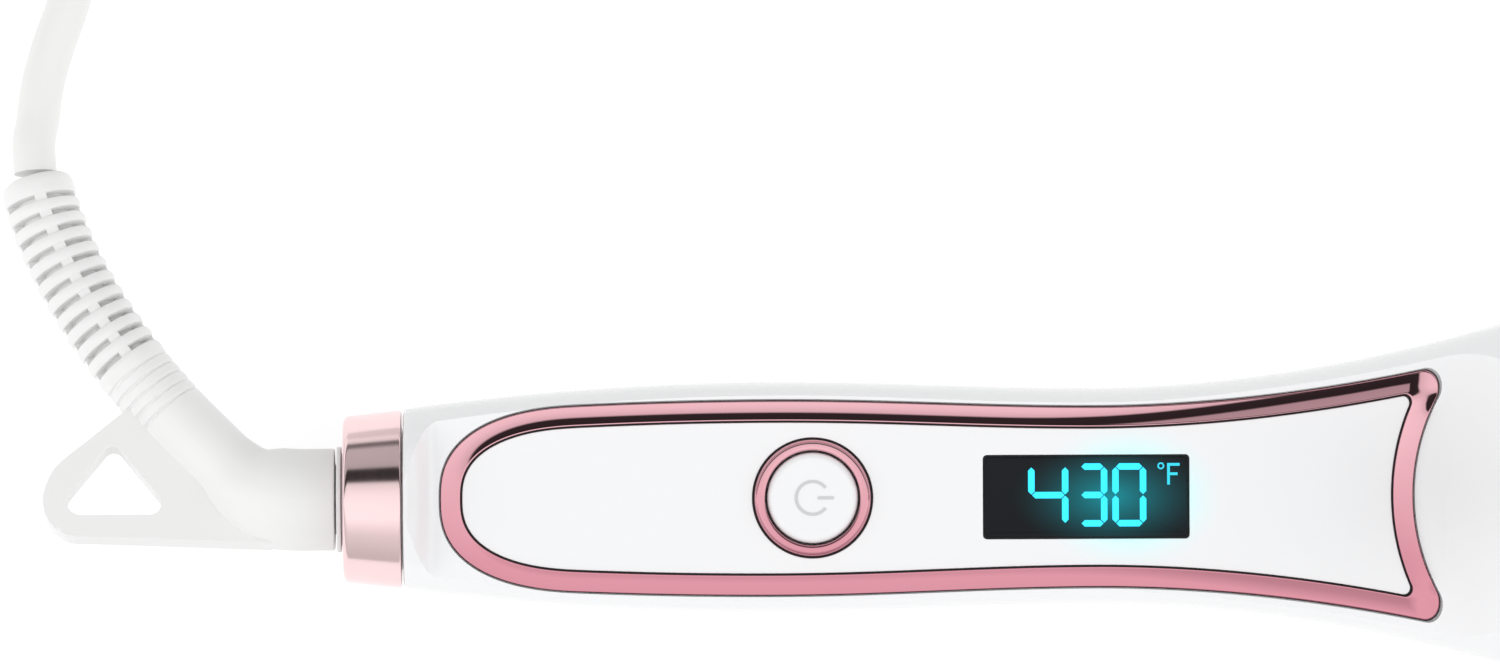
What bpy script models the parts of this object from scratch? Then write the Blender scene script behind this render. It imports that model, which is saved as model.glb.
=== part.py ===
"""Curling iron with a spring clamp, a swivel cord and a flip-out stand.

The iron lies along +X, tail first, with its display face up.  Every piece is placed from the
empty "iron", which sits on the iron's axis at the tail face of the metal tail collar.
"""
import math

import bmesh
import bpy
from mathutils import Matrix, Vector

MM = 0.001
GAP = 0.3 * MM                      # clearance between neighbouring pieces

# Overall layout along the axis, measured from the tail face of the collar
HANDLE_END = 185.5 * MM             # mouth of the flared hand guard
BARREL_LENGTH = 136.7 * MM
TIP_LENGTH = 21.7 * MM
GRIP_DEPTH = 16.6 * MM              # from the axis down to the surface the iron lies on

# Handle outline
TAIL_WIDTH = 26.0 * MM
BELLY_WIDTH = 33.3 * MM
WAIST_WIDTH = 31.2 * MM
GUARD_WIDTH = 61.6 * MM
BELLY_AT = 62.3 * MM
WAIST_AT = 108.5 * MM
FLARE_POWER = 1.9
SHELL_WALL = 2.2 * MM
LOWER_BULGE = 0.08                  # extra depth of the palm side, as a share of the half width
GUARD_DEPTH = 17.2 * MM             # half height of the guard before the flat is taken off
SEAM = 0.15 * MM                    # half the gap along the parting line

# Flat display face
FACE_HEIGHT = 7.8 * MM
FACE_WALL = 3.4 * MM
FACE_START = 13.5 * MM
FACE_RISE_AT = 158.5 * MM
FACE_RISE_END = 181.0 * MM
SEAT_DEPTH = 1.5 * MM
PANEL_PROUD = 0.1 * MM

# Metal trim frame round the display face
TRIM_START = 14.1 * MM
TRIM_END = 153.9 * MM               # middle of the hollow front end
TRIM_END_RADIUS = 30.0 * MM
TRIM_NOSE_LENGTH = 20.0 * MM
TRIM_NOSE_POWER = 2.6
TRIM_MARGIN = 2.7 * MM
TRIM_MARGIN_TAIL = 1.3 * MM
TRIM_MARGIN_FLARE = 0.15
TRIM_WIDTH = 2.8 * MM
TRIM_PROUD = 0.5 * MM
TRIM_CORNER = 5.5 * MM              # how far the rounded corner reaches back along its sides

# Power button
BUTTON_AT = 67.6 * MM
BUTTON_DIAMETER = 13.1 * MM
BEZEL_WIDTH = 1.55 * MM
BEZEL_PROUD = 0.9 * MM
BUTTON_PROUD = 0.7 * MM
BUTTON_TRAVEL = 0.8 * MM

# Display
DISPLAY_AT = 106.95 * MM
DISPLAY_LENGTH = 29.1 * MM
DISPLAY_WIDTH = 11.5 * MM
DISPLAY_LEDGE = 1.2 * MM

# Screws that join the two shells, with their posts above and their wells below
CASE_POST_RADIUS = 3.4 * MM
CASE_HOLE_RADIUS = 1.5 * MM
CASE_WELL_RADIUS = 2.5 * MM
CASE_SEAT_HEIGHT = -7.0 * MM        # where the screw head rests
CASE_SCREW_TOP = 3.2 * MM

# Circuit board
BOARD_START = 52.0 * MM
BOARD_END = 131.0 * MM
BOARD_WIDTH = 18.0 * MM
BOARD_TOP = -3.0 * MM
BOARD_THICKNESS = 1.6 * MM

# Tail collar and swivel
COLLAR_LENGTH = 8.4 * MM
COLLAR_TAIL_DIAMETER = 24.0 * MM
COLLAR_FRONT_DIAMETER = 25.7 * MM
COLLAR_WALL = 1.6 * MM
BUSH_DIAMETER = 13.2 * MM
BUSH_BORE = 10.6 * MM
BUSH_FLANGE_DIAMETER = 15.2 * MM
BUSH_FLANGE = 0.65 * MM
NECK_END = 11.0 * MM
ROTOR_DIAMETER = 6.0 * MM
RING_DIAMETER = 8.0 * MM

# Strain relief, drawn in its own plane, which leans down towards the surface
RELIEF_LEAN = math.radians(-13.6)
TUBE_DIAMETER = 14.7 * MM
SLEEVE_DIAMETER = 10.5 * MM
LOOP_THICKNESS = 5.0 * MM

# Barrel, clamp and tip
BARREL_DIAMETER = 31.8 * MM
BARREL_WALL = 1.2 * MM
CLAMP_THICKNESS = 1.0 * MM
CLAMP_LENGTH = 109.0 * MM
CLAMP_HALF_ANGLE = math.radians(60.0)
HINGE_AT = 200.0 * MM
HINGE_RISE = 4.6 * MM               # pin above the top of the barrel
PIN_DIAMETER = 2.2 * MM
EAR_INNER = 6.6 * MM
EAR_THICKNESS = 1.2 * MM
LEVER_LENGTH = 29.0 * MM
LEVER_RISE = math.radians(21.6)
LEVER_THICKNESS = 3.0 * MM
STRIP_THICKNESS = 1.2 * MM
RIVET_BORE = 1.5 * MM
BRACKET_RADIUS = 3.2 * MM           # rounded top of the bracket's ears
CLAMP_EAR_RADIUS = 2.8 * MM

# Heat shield and front bezel
BEZEL_THICKNESS = 2.5 * MM
SHIELD_NECK_DIAMETER = 19.0 * MM
SHIELD_FLANGE = 2.4 * MM
SHIELD_BORE = 14.0 * MM
BULKHEAD_AT = 178.3 * MM
BULKHEAD_THICKNESS = 2.7 * MM

# Flip-out stand in the palm side
STAND_PIN_AT = 181.0 * MM
STAND_LENGTH = 29.5 * MM
STAND_WIDTH = 18.0 * MM
STAND_THICKNESS = 2.2 * MM
STAND_PIN_DIAMETER = 1.6 * MM
STAND_KNUCKLE = 1.6 * MM            # radius of the stand's round end about its pin
BAY_CLEARANCE = 1.2 * MM            # finger room before the stand's free end and above it
BAY_WALL = 1.8 * MM

# Cord
CORD_DIAMETER = 6.2 * MM
CORD_SIDES = 2                      # bevel resolution
COIL_MIDDLE_RADIUS = 35.0 * MM
COIL_PITCH = 6.4 * MM
COIL_COLUMNS = 4
COIL_LAYERS = 3
COIL_LAYER_PITCH = 6.25 * MM
TIE_THICKNESS = 0.9 * MM
TIE_WIDTH = 12.0 * MM
COIL_X = 11.2 * MM
COIL_Y = 124.0 * MM

# Mains plug, lying on its side
PLUG_HEIGHT = 7.4 * MM              # of its middle above the surface
BLADE_START = 34.0 * MM
BLADE_END = 51.0 * MM
BLADE_OFFSET = 6.35 * MM            # half the spacing of the two blades
BLADE_HALF_WIDTH = 3.15 * MM
BLADE_THICKNESS = 1.5 * MM

ROUND = 32                          # sides of a large round piece
SMALL_ROUND = 14                    # sides of a small round piece

# Places that follow from the sizes above
SHIELD_FLANGE_AT = HANDLE_END + GAP + BEZEL_THICKNESS + GAP
BARREL_START = SHIELD_FLANGE_AT + SHIELD_FLANGE + GAP
BARREL_END = BARREL_START + BARREL_LENGTH
TIP_END = BARREL_END + GAP + TIP_LENGTH
BARREL_RADIUS = BARREL_DIAMETER / 2
HINGE_HEIGHT = BARREL_RADIUS + HINGE_RISE
CORD_RADIUS = CORD_DIAMETER / 2
CORD_REST = CORD_RADIUS + 0.05 * MM - GRIP_DEPTH


# ---------------------------------------------------------------- scene helpers

def clear_scene():
    for item in list(bpy.data.objects):
        bpy.data.objects.remove(item)


def material(name, colour, roughness, metallic=0.0):
    made = bpy.data.materials.new(name)
    made.use_nodes = True
    shader = made.node_tree.nodes["Principled BSDF"]
    shader.inputs["Base Color"].default_value = (*colour, 1.0)
    shader.inputs["Roughness"].default_value = roughness
    shader.inputs["Metallic"].default_value = metallic
    return made


def empty(name, location, parent=None):
    made = bpy.data.objects.new(name, None)
    bpy.context.collection.objects.link(made)
    made.location = location
    made.parent = parent
    return made


def finish_mesh(name, shape, coat, parent, origin=(0.0, 0.0, 0.0)):
    """Turns a bmesh drawn in iron coordinates into an object with its origin at the given point."""
    bmesh.ops.recalc_face_normals(shape, faces=shape.faces)
    bmesh.ops.translate(shape, verts=shape.verts, vec=-Vector(origin))
    mesh = bpy.data.meshes.new(name)
    shape.to_mesh(mesh)
    shape.free()
    made = bpy.data.objects.new(name, mesh)
    bpy.context.collection.objects.link(made)
    made.parent = parent
    made.location = Vector(origin)
    if coat:
        mesh.materials.append(coat)
        mesh.shade_smooth()
        mesh.set_sharp_from_angle(angle=math.radians(35))
    return made


def boolean(target, cutters, operation="DIFFERENCE"):
    for cutter in cutters:
        cutter.hide_render = True
        cutter.display_type = "WIRE"
        modifier = target.modifiers.new(operation.title(), "BOOLEAN")
        modifier.operation = operation
        modifier.object = cutter


# ---------------------------------------------------------------- shape helpers

def smooth_step(value):
    value = min(1.0, max(0.0, value))
    return value * value * (3.0 - 2.0 * value)


def loft(shape, rings, capped=True):
    """Joins rings of equal point counts with quads, and caps the first and the last."""
    made = [[shape.verts.new(point) for point in ring] for ring in rings]
    count = len(made[0])
    for low, high in zip(made, made[1:]):
        for i in range(count):
            j = (i + 1) % count
            shape.faces.new((low[i], low[j], high[j], high[i]))
    if capped:
        shape.faces.new(made[0])
        shape.faces.new(made[-1])
    return made


def prism(outline, axis, low, high):
    """Extrudes an outline along X, Y or Z.  The outline holds the two other coordinates in order."""
    places = {"X": lambda a, b, c: (c, a, b), "Y": lambda a, b, c: (a, c, b), "Z": lambda a, b, c: (a, b, c)}
    place = places[axis]
    shape = bmesh.new()
    loft(shape, [[place(a, b, end) for a, b in outline] for end in (low, high)])
    return shape


def box_outline(a_low, a_high, b_low, b_high):
    return [(a_low, b_low), (a_high, b_low), (a_high, b_high), (a_low, b_high)]


def rounded_outline(a_low, a_high, b_low, b_high, radius, steps=3):
    corners = [
        (a_high - radius, b_high - radius, 0),
        (a_low + radius, b_high - radius, 90),
        (a_low + radius, b_low + radius, 180),
        (a_high - radius, b_low + radius, 270),
    ]
    points = []
    for a, b, start in corners:
        for step in range(steps + 1):
            angle = math.radians(start + 90 * step / steps)
            points.append((a + radius * math.cos(angle), b + radius * math.sin(angle)))
    return points


def circle_outline(a, b, radius, sides):
    turns = [2 * math.pi * i / sides for i in range(sides)]
    return [(a + radius * math.cos(turn), b + radius * math.sin(turn)) for turn in turns]


def disc(axis, a, b, radius, low, high, sides=SMALL_ROUND):
    return prism(circle_outline(a, b, radius, sides), axis, low, high)


def turned(profile, closed, sides=ROUND, centre=(0.0, 0.0), axis="X"):
    """Turns (along, radius) points about a line.  A closed profile makes a ring, an open one a solid."""
    shape = bmesh.new()
    rings = []
    for along, radius in profile:
        ring = []
        for i in range(sides):
            angle = 2 * math.pi * i / sides
            a = centre[0] + radius * math.cos(angle)
            b = centre[1] + radius * math.sin(angle)
            ring.append((along, a, b) if axis == "X" else (a, b, along))
        rings.append(ring)
    made = loft(shape, rings, capped=not closed)
    if closed:
        for i in range(sides):
            j = (i + 1) % sides
            shape.faces.new((made[-1][i], made[-1][j], made[0][j], made[0][i]))
    return shape


def arc_shell(inner, outer, half_angle, low, high, steps=12):
    """A curved plate that hugs the top of the barrel."""
    turns = [math.pi / 2 + half_angle * (2 * i / steps - 1) for i in range(steps + 1)]
    outline = [(outer * math.cos(turn), outer * math.sin(turn)) for turn in turns]
    outline += [(inner * math.cos(turn), inner * math.sin(turn)) for turn in reversed(turns)]
    return prism(outline, "X", low, high)


def smooth_curve(points, spacing):
    """Points along a Catmull-Rom curve through the given ones, about the given spacing apart."""
    knots = [Vector(point) for point in points]
    knots = [2 * knots[0] - knots[1]] + knots + [2 * knots[-1] - knots[-2]]
    route = [knots[1]]
    for a, b, c, d in zip(knots, knots[1:], knots[2:], knots[3:]):
        steps = max(1, round((c - b).length / spacing))
        for step in range(1, steps + 1):
            t = step / steps
            bend = (2 * a - 5 * b + 4 * c - d) * t * t + (3 * b - a - 3 * c + d) * t ** 3
            route.append((2 * b + (c - a) * t + bend) / 2)
    return route


def tube(name, points, radius, spacing, coat, parent, resolution=CORD_SIDES):
    curve = bpy.data.curves.new(name, "CURVE")
    curve.dimensions = "3D"
    curve.bevel_depth = radius
    curve.bevel_resolution = resolution
    curve.use_fill_caps = True
    route = smooth_curve(points, spacing)
    spline = curve.splines.new("POLY")
    spline.points.add(len(route) - 1)
    for slot, point in zip(spline.points, route):
        slot.co = (*point, 1.0)
    curve.materials.append(coat)
    made = bpy.data.objects.new(name, curve)
    bpy.context.collection.objects.link(made)
    made.parent = parent
    return made


# ---------------------------------------------------------------- handle surface

def tail_share(x):
    """1 at the tail end of the handle, falling to 0 at the belly."""
    return max(0.0, (BELLY_AT - x) / (BELLY_AT - COLLAR_LENGTH - GAP)) ** 2


def flare_share(x):
    return max(0.0, (x - WAIST_AT) / (HANDLE_END - WAIST_AT)) ** FLARE_POWER


def half_width(x):
    belly, waist = BELLY_WIDTH / 2, WAIST_WIDTH / 2
    if x < BELLY_AT:
        return belly - (belly - TAIL_WIDTH / 2) * tail_share(x)
    if x < WAIST_AT:
        turn = math.pi * (x - BELLY_AT) / (WAIST_AT - BELLY_AT)
        return (belly + waist) / 2 + (belly - waist) / 2 * math.cos(turn)
    return waist + (GUARD_WIDTH / 2 - waist) * flare_share(x)


def upper_depth(x):
    return min(half_width(x), GUARD_DEPTH)


def lower_depth(x):
    bulge = 1.0 + LOWER_BULGE * smooth_step((x - COLLAR_LENGTH) / (BELLY_AT - COLLAR_LENGTH))
    return min(half_width(x) * bulge, GUARD_DEPTH * (1.0 + LOWER_BULGE))


def face_height(x):
    """Height of the flat display face, which rises to a round section at both ends."""
    free = 0.985 * upper_depth(x)
    tail = 1.0 - smooth_step((x - COLLAR_LENGTH) / (FACE_START - COLLAR_LENGTH))
    front = smooth_step((x - FACE_RISE_AT) / (FACE_RISE_END - FACE_RISE_AT))
    return min(free, FACE_HEIGHT + (free - FACE_HEIGHT) * max(tail, front))


def section(width, depth, level, x, side):
    """Half a cross-section from +Y over the crown to -Y: round flanks and a flat at the given level."""
    flank = math.asin(min(0.999, (level - SEAM) / (depth - SEAM)))
    turns = [flank * i / 5 for i in range(6)]
    right = [(width * math.cos(turn), SEAM + (depth - SEAM) * math.sin(turn)) for turn in turns]
    left = [(-y, z) for y, z in reversed(right)]
    return [(x, y, side * z) for y, z in right + left]


def outer_section(x, side, shrink=0.0):
    depth = upper_depth(x) if side > 0 else lower_depth(x)
    level = face_height(x) if side > 0 else min(0.985 * depth, GRIP_DEPTH)
    return section(half_width(x) - shrink, depth - shrink, level - shrink, x, side)


def inner_section(x, side):
    depth = (upper_depth(x) if side > 0 else lower_depth(x)) - SHELL_WALL
    if side > 0:
        level = face_height(x) - max(SHELL_WALL, FACE_WALL - (face_height(x) - FACE_HEIGHT))
    else:
        level = min(0.985 * depth, GRIP_DEPTH - SHELL_WALL)
    return section(half_width(x) - SHELL_WALL, depth, level, x, side)


def round_section(radius, x, side):
    return section(radius, radius, 0.985 * radius, x, side)


def shell(name, side, coat, parent):
    """One half of the handle: an outer skin, an inner skin, two parting faces and two ends."""
    tail = COLLAR_LENGTH + GAP
    step = 0.05 * MM
    neck = (COLLAR_TAIL_DIAMETER / 2) - COLLAR_WALL - GAP
    bore = BUSH_DIAMETER / 2 + GAP
    outer = [round_section(neck, COLLAR_WALL + GAP, side), round_section(neck, tail - step, side)]
    stations = [tail, 11 * MM, FACE_START, 18 * MM, 26 * MM, 38 * MM, 50 * MM, BELLY_AT, 78 * MM, 94 * MM]
    stations += [WAIST_AT, 120 * MM, 130 * MM, 140 * MM, 149 * MM, FACE_RISE_AT]
    lift = FACE_RISE_END - FACE_RISE_AT
    stations += [FACE_RISE_AT + lift * share for share in (0.25, 0.5, 0.75, 1.0)]
    outer += [outer_section(x, side) for x in stations]
    outer += [outer_section(HANDLE_END - 1.2 * MM, side, 0.2 * MM),
            outer_section(HANDLE_END, side, 0.9 * MM)]
    inner = [round_section(bore, COLLAR_WALL + GAP, side), round_section(bore, NECK_END, side)]
    hollow = [14 * MM, 20 * MM, 35 * MM, BELLY_AT, 85 * MM, WAIST_AT, 130 * MM, 149 * MM, FACE_RISE_AT]
    hollow += [FACE_RISE_AT + lift * share for share in (0.33, 0.66, 1.0)] + [HANDLE_END]
    inner += [inner_section(x, side) for x in hollow]
    shape = bmesh.new()
    skins = [[[shape.verts.new(point) for point in ring] for ring in skin] for skin in (outer, inner)]
    for skin in skins:
        for low, high in zip(skin, skin[1:]):
            for i in range(len(low) - 1):
                shape.faces.new((low[i], low[i + 1], high[i + 1], high[i]))
    for edge in (0, -1):
        shape.faces.new([ring[edge] for ring in skins[0]] + [ring[edge] for ring in reversed(skins[1])])
    for end in (0, -1):
        shape.faces.new(list(skins[0][end]) + list(reversed(skins[1][end])))
    return finish_mesh(name, shape, coat, parent)


# ---------------------------------------------------------------- trim outline

def trim_half_width(x):
    margin = TRIM_MARGIN + (TRIM_MARGIN_TAIL - TRIM_MARGIN) * tail_share(x)
    if x > WAIST_AT:
        margin += TRIM_MARGIN_FLARE * (half_width(x) - WAIST_WIDTH / 2)
    return half_width(x) - margin


def trim_side(x, inset):
    """Half width of the trim outline, drawn in by the inset, with its round nose."""
    nose_end = TRIM_START + TRIM_NOSE_LENGTH
    share = min(1.0, max(0.0, (nose_end - x) / (TRIM_NOSE_LENGTH - inset)))
    nose = (1.0 - share ** TRIM_NOSE_POWER) ** (1.0 / TRIM_NOSE_POWER)
    return (trim_half_width(x) - inset) * nose


def trim_front(y, inset):
    """Where the hollow front end lies at a given y."""
    radius = TRIM_END_RADIUS + inset
    return TRIM_END + TRIM_END_RADIUS - math.sqrt(radius * radius - y * y)


def trim_corner(inset):
    low, high = TRIM_END - inset, TRIM_END + TRIM_END_RADIUS
    for _ in range(40):
        middle = (low + high) / 2
        reach = trim_half_width(middle) - inset
        if reach < TRIM_END_RADIUS + inset and middle > trim_front(reach, inset):
            high = middle
        else:
            low = middle
    return low


def round_corner(before, corner, after, count):
    """Points of the circular arc that joins two sides of a corner, without its ends."""
    weight = math.sin((before - corner).angle(after - corner) / 2)
    points = []
    for i in range(1, count + 1):
        t = i / (count + 1)
        parts = (1 - t) ** 2, 2 * weight * t * (1 - t), t * t
        points.append(tuple((before * parts[0] + corner * parts[1] + after * parts[2]) / sum(parts)))
    return points


def trim_outline(inset, nose_steps=7, side_steps=10, front_steps=4):
    """Counter-clockwise outline of the trim, seen from above, starting at its nose."""
    start = TRIM_START + inset
    nose_end = TRIM_START + TRIM_NOSE_LENGTH
    corner_x = trim_corner(inset)
    corner_y = trim_half_width(corner_x) - inset
    cut = TRIM_CORNER - 1.2 * inset
    half = []
    for i in range(1, nose_steps + 1):
        turn = math.pi / 2 * i / nose_steps
        x = nose_end - (nose_end - start) * math.cos(turn) ** 1.15
        half.append((x, trim_side(x, inset)))
    for i in range(1, side_steps + 1):
        x = nose_end + (corner_x - cut - nose_end) * i / side_steps
        half.append((x, trim_side(x, inset)))
    before = Vector(half[-1])
    after = Vector((trim_front(corner_y - cut, inset), corner_y - cut))
    corner = Vector((corner_x, corner_y))
    half += round_corner(before, corner, after, 3)
    for i in range(front_steps):
        y = (corner_y - cut) * (1 - i / front_steps)
        half.append((trim_front(y, inset), y))
    middle = [(start, 0.0)], [(TRIM_END - inset, 0.0)]
    lower = [(x, -y) for x, y in half]
    return middle[0] + lower + middle[1] + list(reversed(half))


# ---------------------------------------------------------------- handle pieces

def make_shells(coats, iron):
    upper = shell("upper_shell", 1, coats["white"], iron)
    lower = shell("lower_shell", -1, coats["white"], iron)
    inner_top = FACE_HEIGHT - FACE_WALL
    add_bulkheads(upper, lower, iron)
    posts = [disc("Z", x, 0.0, 3.0 * MM, BOARD_TOP + GAP, inner_top + 0.5 * MM)
            for x in board_screw_places()]
    posts += [disc("Z", x, y, CASE_POST_RADIUS, SEAM, inner_top + 0.5 * MM) for x, y in case_screw_places()]
    boolean(upper, [finish_mesh("boss", post, None, iron) for post in posts], "UNION")
    cuts = [prism(trim_outline(-GAP), "Z", FACE_HEIGHT - SEAT_DEPTH, FACE_HEIGHT + 3 * MM)]
    hole = BUTTON_DIAMETER / 2 + GAP
    cuts.append(disc("Z", BUTTON_AT, 0.0, hole, 0.0, FACE_HEIGHT, ROUND))
    length, width = DISPLAY_LENGTH / 2 - DISPLAY_LEDGE, DISPLAY_WIDTH / 2 - DISPLAY_LEDGE
    cuts.append(prism(box_outline(DISPLAY_AT - length, DISPLAY_AT + length, -width, width), "Z", 0.0,
            FACE_HEIGHT))
    screw = 1.3 * MM
    depth = BOARD_TOP + 6 * MM
    cuts += [disc("Z", x, 0.0, screw, BOARD_TOP - MM, depth) for x in board_screw_places()]
    cuts += [disc("Z", x, y, CASE_HOLE_RADIUS, -MM, CASE_SCREW_TOP + 0.4 * MM)
            for x, y in case_screw_places()]
    boolean(upper, [finish_mesh("face_cut", cut, None, iron) for cut in cuts])
    wells = [disc("Z", x, y, CASE_POST_RADIUS, skin_inside(x, abs(y) + CASE_POST_RADIUS), -SEAM)
            for x, y in case_screw_places()]
    boolean(lower, [finish_mesh("well", well, None, iron) for well in wells], "UNION")
    below = CASE_SEAT_HEIGHT - 2 * MM
    holes = [disc("Z", x, y, CASE_HOLE_RADIUS, below, MM, 12) for x, y in case_screw_places()]
    holes += [disc("Z", x, y, CASE_WELL_RADIUS, -GRIP_DEPTH - MM, CASE_SEAT_HEIGHT)
            for x, y in case_screw_places()]
    half, roof = STAND_WIDTH / 2 + GAP, bay_roof()
    bay_start = STAND_PIN_AT - STAND_LENGTH - BAY_CLEARANCE
    holes.append(prism(box_outline(bay_start, STAND_PIN_AT + 2.2 * MM, -half, half), "Z", -GRIP_DEPTH - MM,
            roof))
    pin = STAND_PIN_DIAMETER / 2 + GAP
    holes.append(disc("Y", STAND_PIN_AT, stand_pin_height(), pin, -half - 1.4 * MM, half + 1.4 * MM, 10))
    boolean(lower, [finish_mesh("palm_cut", hole_shape, None, iron) for hole_shape in holes])


def add_bulkheads(upper, lower, iron):
    """The wall behind the mouth that traps the heat shield, and the box round the stand's bay."""
    neck = SHIELD_NECK_DIAMETER / 2 + GAP
    for target, side in ((upper, 1), (lower, -1)):
        rings = []
        for x in (BULKHEAD_AT, BULKHEAD_AT + BULKHEAD_THICKNESS):
            rim = outer_section(x, side, SHELL_WALL / 2)
            turns = [math.pi * i / (len(rim) - 1) for i in range(len(rim))]
            hollow = [(x, neck * math.cos(t), side * max(SEAM, neck * math.sin(t))) for t in turns]
            rings.append(rim + list(reversed(hollow)))
        shape = bmesh.new()
        loft(shape, rings)
        boolean(target, [finish_mesh("bulkhead", shape, None, iron)], "UNION")
    half = STAND_WIDTH / 2 + GAP + BAY_WALL
    start = STAND_PIN_AT - STAND_LENGTH - BAY_CLEARANCE - BAY_WALL
    rings = []
    for i in range(6):
        x = start + (HANDLE_END - 0.4 * MM - start) * i / 5
        outline = box_outline(-half, half, skin_inside(x, half), bay_roof() + 1.2 * MM)
        rings.append([(x, y, z) for y, z in outline])
    bay = bmesh.new()
    loft(bay, rings)
    boolean(lower, [finish_mesh("stand_bay", bay, None, iron)], "UNION")


def skin_inside(x, reach):
    """Height just inside the palm side's outer skin at this reach, where a wall can join it."""
    share = reach / half_width(x)
    return 0.6 * MM - min(GRIP_DEPTH, lower_depth(x) * math.sqrt(1.0 - share * share))


def bay_roof():
    return -GRIP_DEPTH + GAP + STAND_THICKNESS + BAY_CLEARANCE


def board_screw_places():
    return [BOARD_START + 3.5 * MM, BOARD_END - 3.5 * MM]


def case_screw_places():
    return [(41.0 * MM, 0.0), (142.0 * MM, 9.0 * MM), (142.0 * MM, -9.0 * MM)]


def stand_pin_height():
    return -GRIP_DEPTH + GAP / 2 + STAND_KNUCKLE


def make_face(coats, iron):
    low = FACE_HEIGHT - SEAT_DEPTH + GAP
    shape = bmesh.new()
    outlines = [trim_outline(inset) for inset in (TRIM_WIDTH, TRIM_WIDTH, 0.0, 0.0)]
    tops = (low, FACE_HEIGHT + TRIM_PROUD, FACE_HEIGHT + TRIM_PROUD, low)
    rings = [[(x, y, top) for x, y in outline] for outline, top in zip(outlines, tops)]
    made = loft(shape, rings, capped=False)
    for i in range(len(made[0])):
        j = (i + 1) % len(made[0])
        shape.faces.new((made[3][i], made[3][j], made[0][j], made[0][i]))
    trim = finish_mesh("trim_frame", shape, coats["rose_gold"], iron)
    bevel = trim.modifiers.new("Bevel", "BEVEL")
    bevel.width = 0.35 * MM
    bevel.angle_limit = math.radians(50)
    top = FACE_HEIGHT + PANEL_PROUD
    panel = finish_mesh("face_panel", prism(trim_outline(TRIM_WIDTH + GAP), "Z", low, top), coats["white"],
            iron)
    hole = BUTTON_DIAMETER / 2 + GAP + BEZEL_WIDTH + GAP
    cuts = [disc("Z", BUTTON_AT, 0.0, hole, 0.0, FACE_HEIGHT + MM, ROUND)]
    length, width = DISPLAY_LENGTH / 2 + GAP, DISPLAY_WIDTH / 2 + GAP
    cuts.append(prism(box_outline(DISPLAY_AT - length, DISPLAY_AT + length, -width, width), "Z", 0.0,
            10 * MM))
    boolean(panel, [finish_mesh("panel_cut", cut, None, iron) for cut in cuts])
    inner = BUTTON_DIAMETER / 2 + GAP
    high = FACE_HEIGHT + BEZEL_PROUD
    profile = [(low, inner), (high - 0.3 * MM, inner), (high, inner + 0.4 * MM)]
    profile += [(high, inner + BEZEL_WIDTH - 0.5 * MM), (high - 0.5 * MM, inner + BEZEL_WIDTH)]
    profile += [(low, inner + BEZEL_WIDTH)]
    ring = turned(profile, True, ROUND, (BUTTON_AT, 0.0), "Z")
    finish_mesh("button_bezel", ring, coats["rose_gold"], iron)
    length, width = DISPLAY_LENGTH / 2, DISPLAY_WIDTH / 2
    glass = prism(rounded_outline(DISPLAY_AT - length, DISPLAY_AT + length, -width, width, 0.4 * MM, 2), "Z",
                  low, FACE_HEIGHT + PANEL_PROUD)
    finish_mesh("display_window", glass, coats["glass"], iron)


def make_button(coats, iron):
    hinge = empty("button_travel", (BUTTON_AT, 0.0, FACE_HEIGHT), iron)
    radius = BUTTON_DIAMETER / 2
    inner_top = FACE_HEIGHT - FACE_WALL
    top = BUTTON_PROUD
    under = inner_top - GAP - FACE_HEIGHT
    stem = switch_top() + BUTTON_TRAVEL + 0.1 * MM - FACE_HEIGHT
    profile = [(stem, 2.0 * MM), (under - MM, 2.0 * MM), (under - MM, radius + 1.1 * MM)]
    profile += [(under, radius + 1.1 * MM), (under, radius), (top - 0.5 * MM, radius),
            (top, radius - 0.6 * MM)]
    finish_mesh("power_button", turned(profile, False, ROUND, (0.0, 0.0), "Z"), coats["white"], hinge)


def switch_top():
    return BOARD_TOP + GAP + 4.3 * MM


def make_electronics(coats, iron):
    half = BOARD_WIDTH / 2
    board = prism(box_outline(BOARD_START, BOARD_END, -half, half), "Z", BOARD_TOP - BOARD_THICKNESS,
            BOARD_TOP)
    board = finish_mesh("control_board", board, coats["board"], iron)
    cuts = [disc("Z", x, 0.0, 1.3 * MM, -10 * MM, 0.0) for x in board_screw_places()]
    boolean(board, [finish_mesh("board_cut", cut, None, iron) for cut in cuts])
    for name, x in zip(("board_screw_rear", "board_screw_front"), board_screw_places()):
        under = BOARD_TOP - BOARD_THICKNESS - GAP
        profile = [(under - 1.4 * MM, 2.3 * MM), (under, 2.3 * MM), (under, 1.0 * MM),
                (BOARD_TOP + 4 * MM, 1.0 * MM)]
        finish_mesh(name, turned(profile, False, SMALL_ROUND, (x, 0.0), "Z"), coats["steel"], iron)
    base = BOARD_TOP + GAP
    profile = [(base, 3.2 * MM), (base + 3.4 * MM, 3.2 * MM), (base + 3.4 * MM, 1.6 * MM),
            (switch_top(), 1.6 * MM)]
    finish_mesh("tact_switch", turned(profile, False, SMALL_ROUND, (BUTTON_AT, 0.0), "Z"), coats["black"],
            iron)
    length = DISPLAY_LENGTH / 2 - DISPLAY_LEDGE - GAP
    width = DISPLAY_WIDTH / 2 - DISPLAY_LEDGE - GAP
    outline = box_outline(DISPLAY_AT - length, DISPLAY_AT + length, -width, width)
    module = prism(outline, "Z", base, FACE_HEIGHT - SEAT_DEPTH)
    finish_mesh("display_module", module, coats["black"], iron)


def make_case_screws(coats, iron):
    for name, (x, y) in zip(("case_screw_tail", "case_screw_left", "case_screw_right"), case_screw_places()):
        head = CASE_SEAT_HEIGHT - GAP
        rim, shank = CASE_WELL_RADIUS - GAP, CASE_HOLE_RADIUS - GAP
        profile = [(head - 1.8 * MM, rim), (head, rim), (head, shank), (CASE_SCREW_TOP, shank)]
        finish_mesh(name, turned(profile, False, SMALL_ROUND, (x, y), "Z"), coats["steel"], iron)


# ---------------------------------------------------------------- tail and swivel

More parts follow.
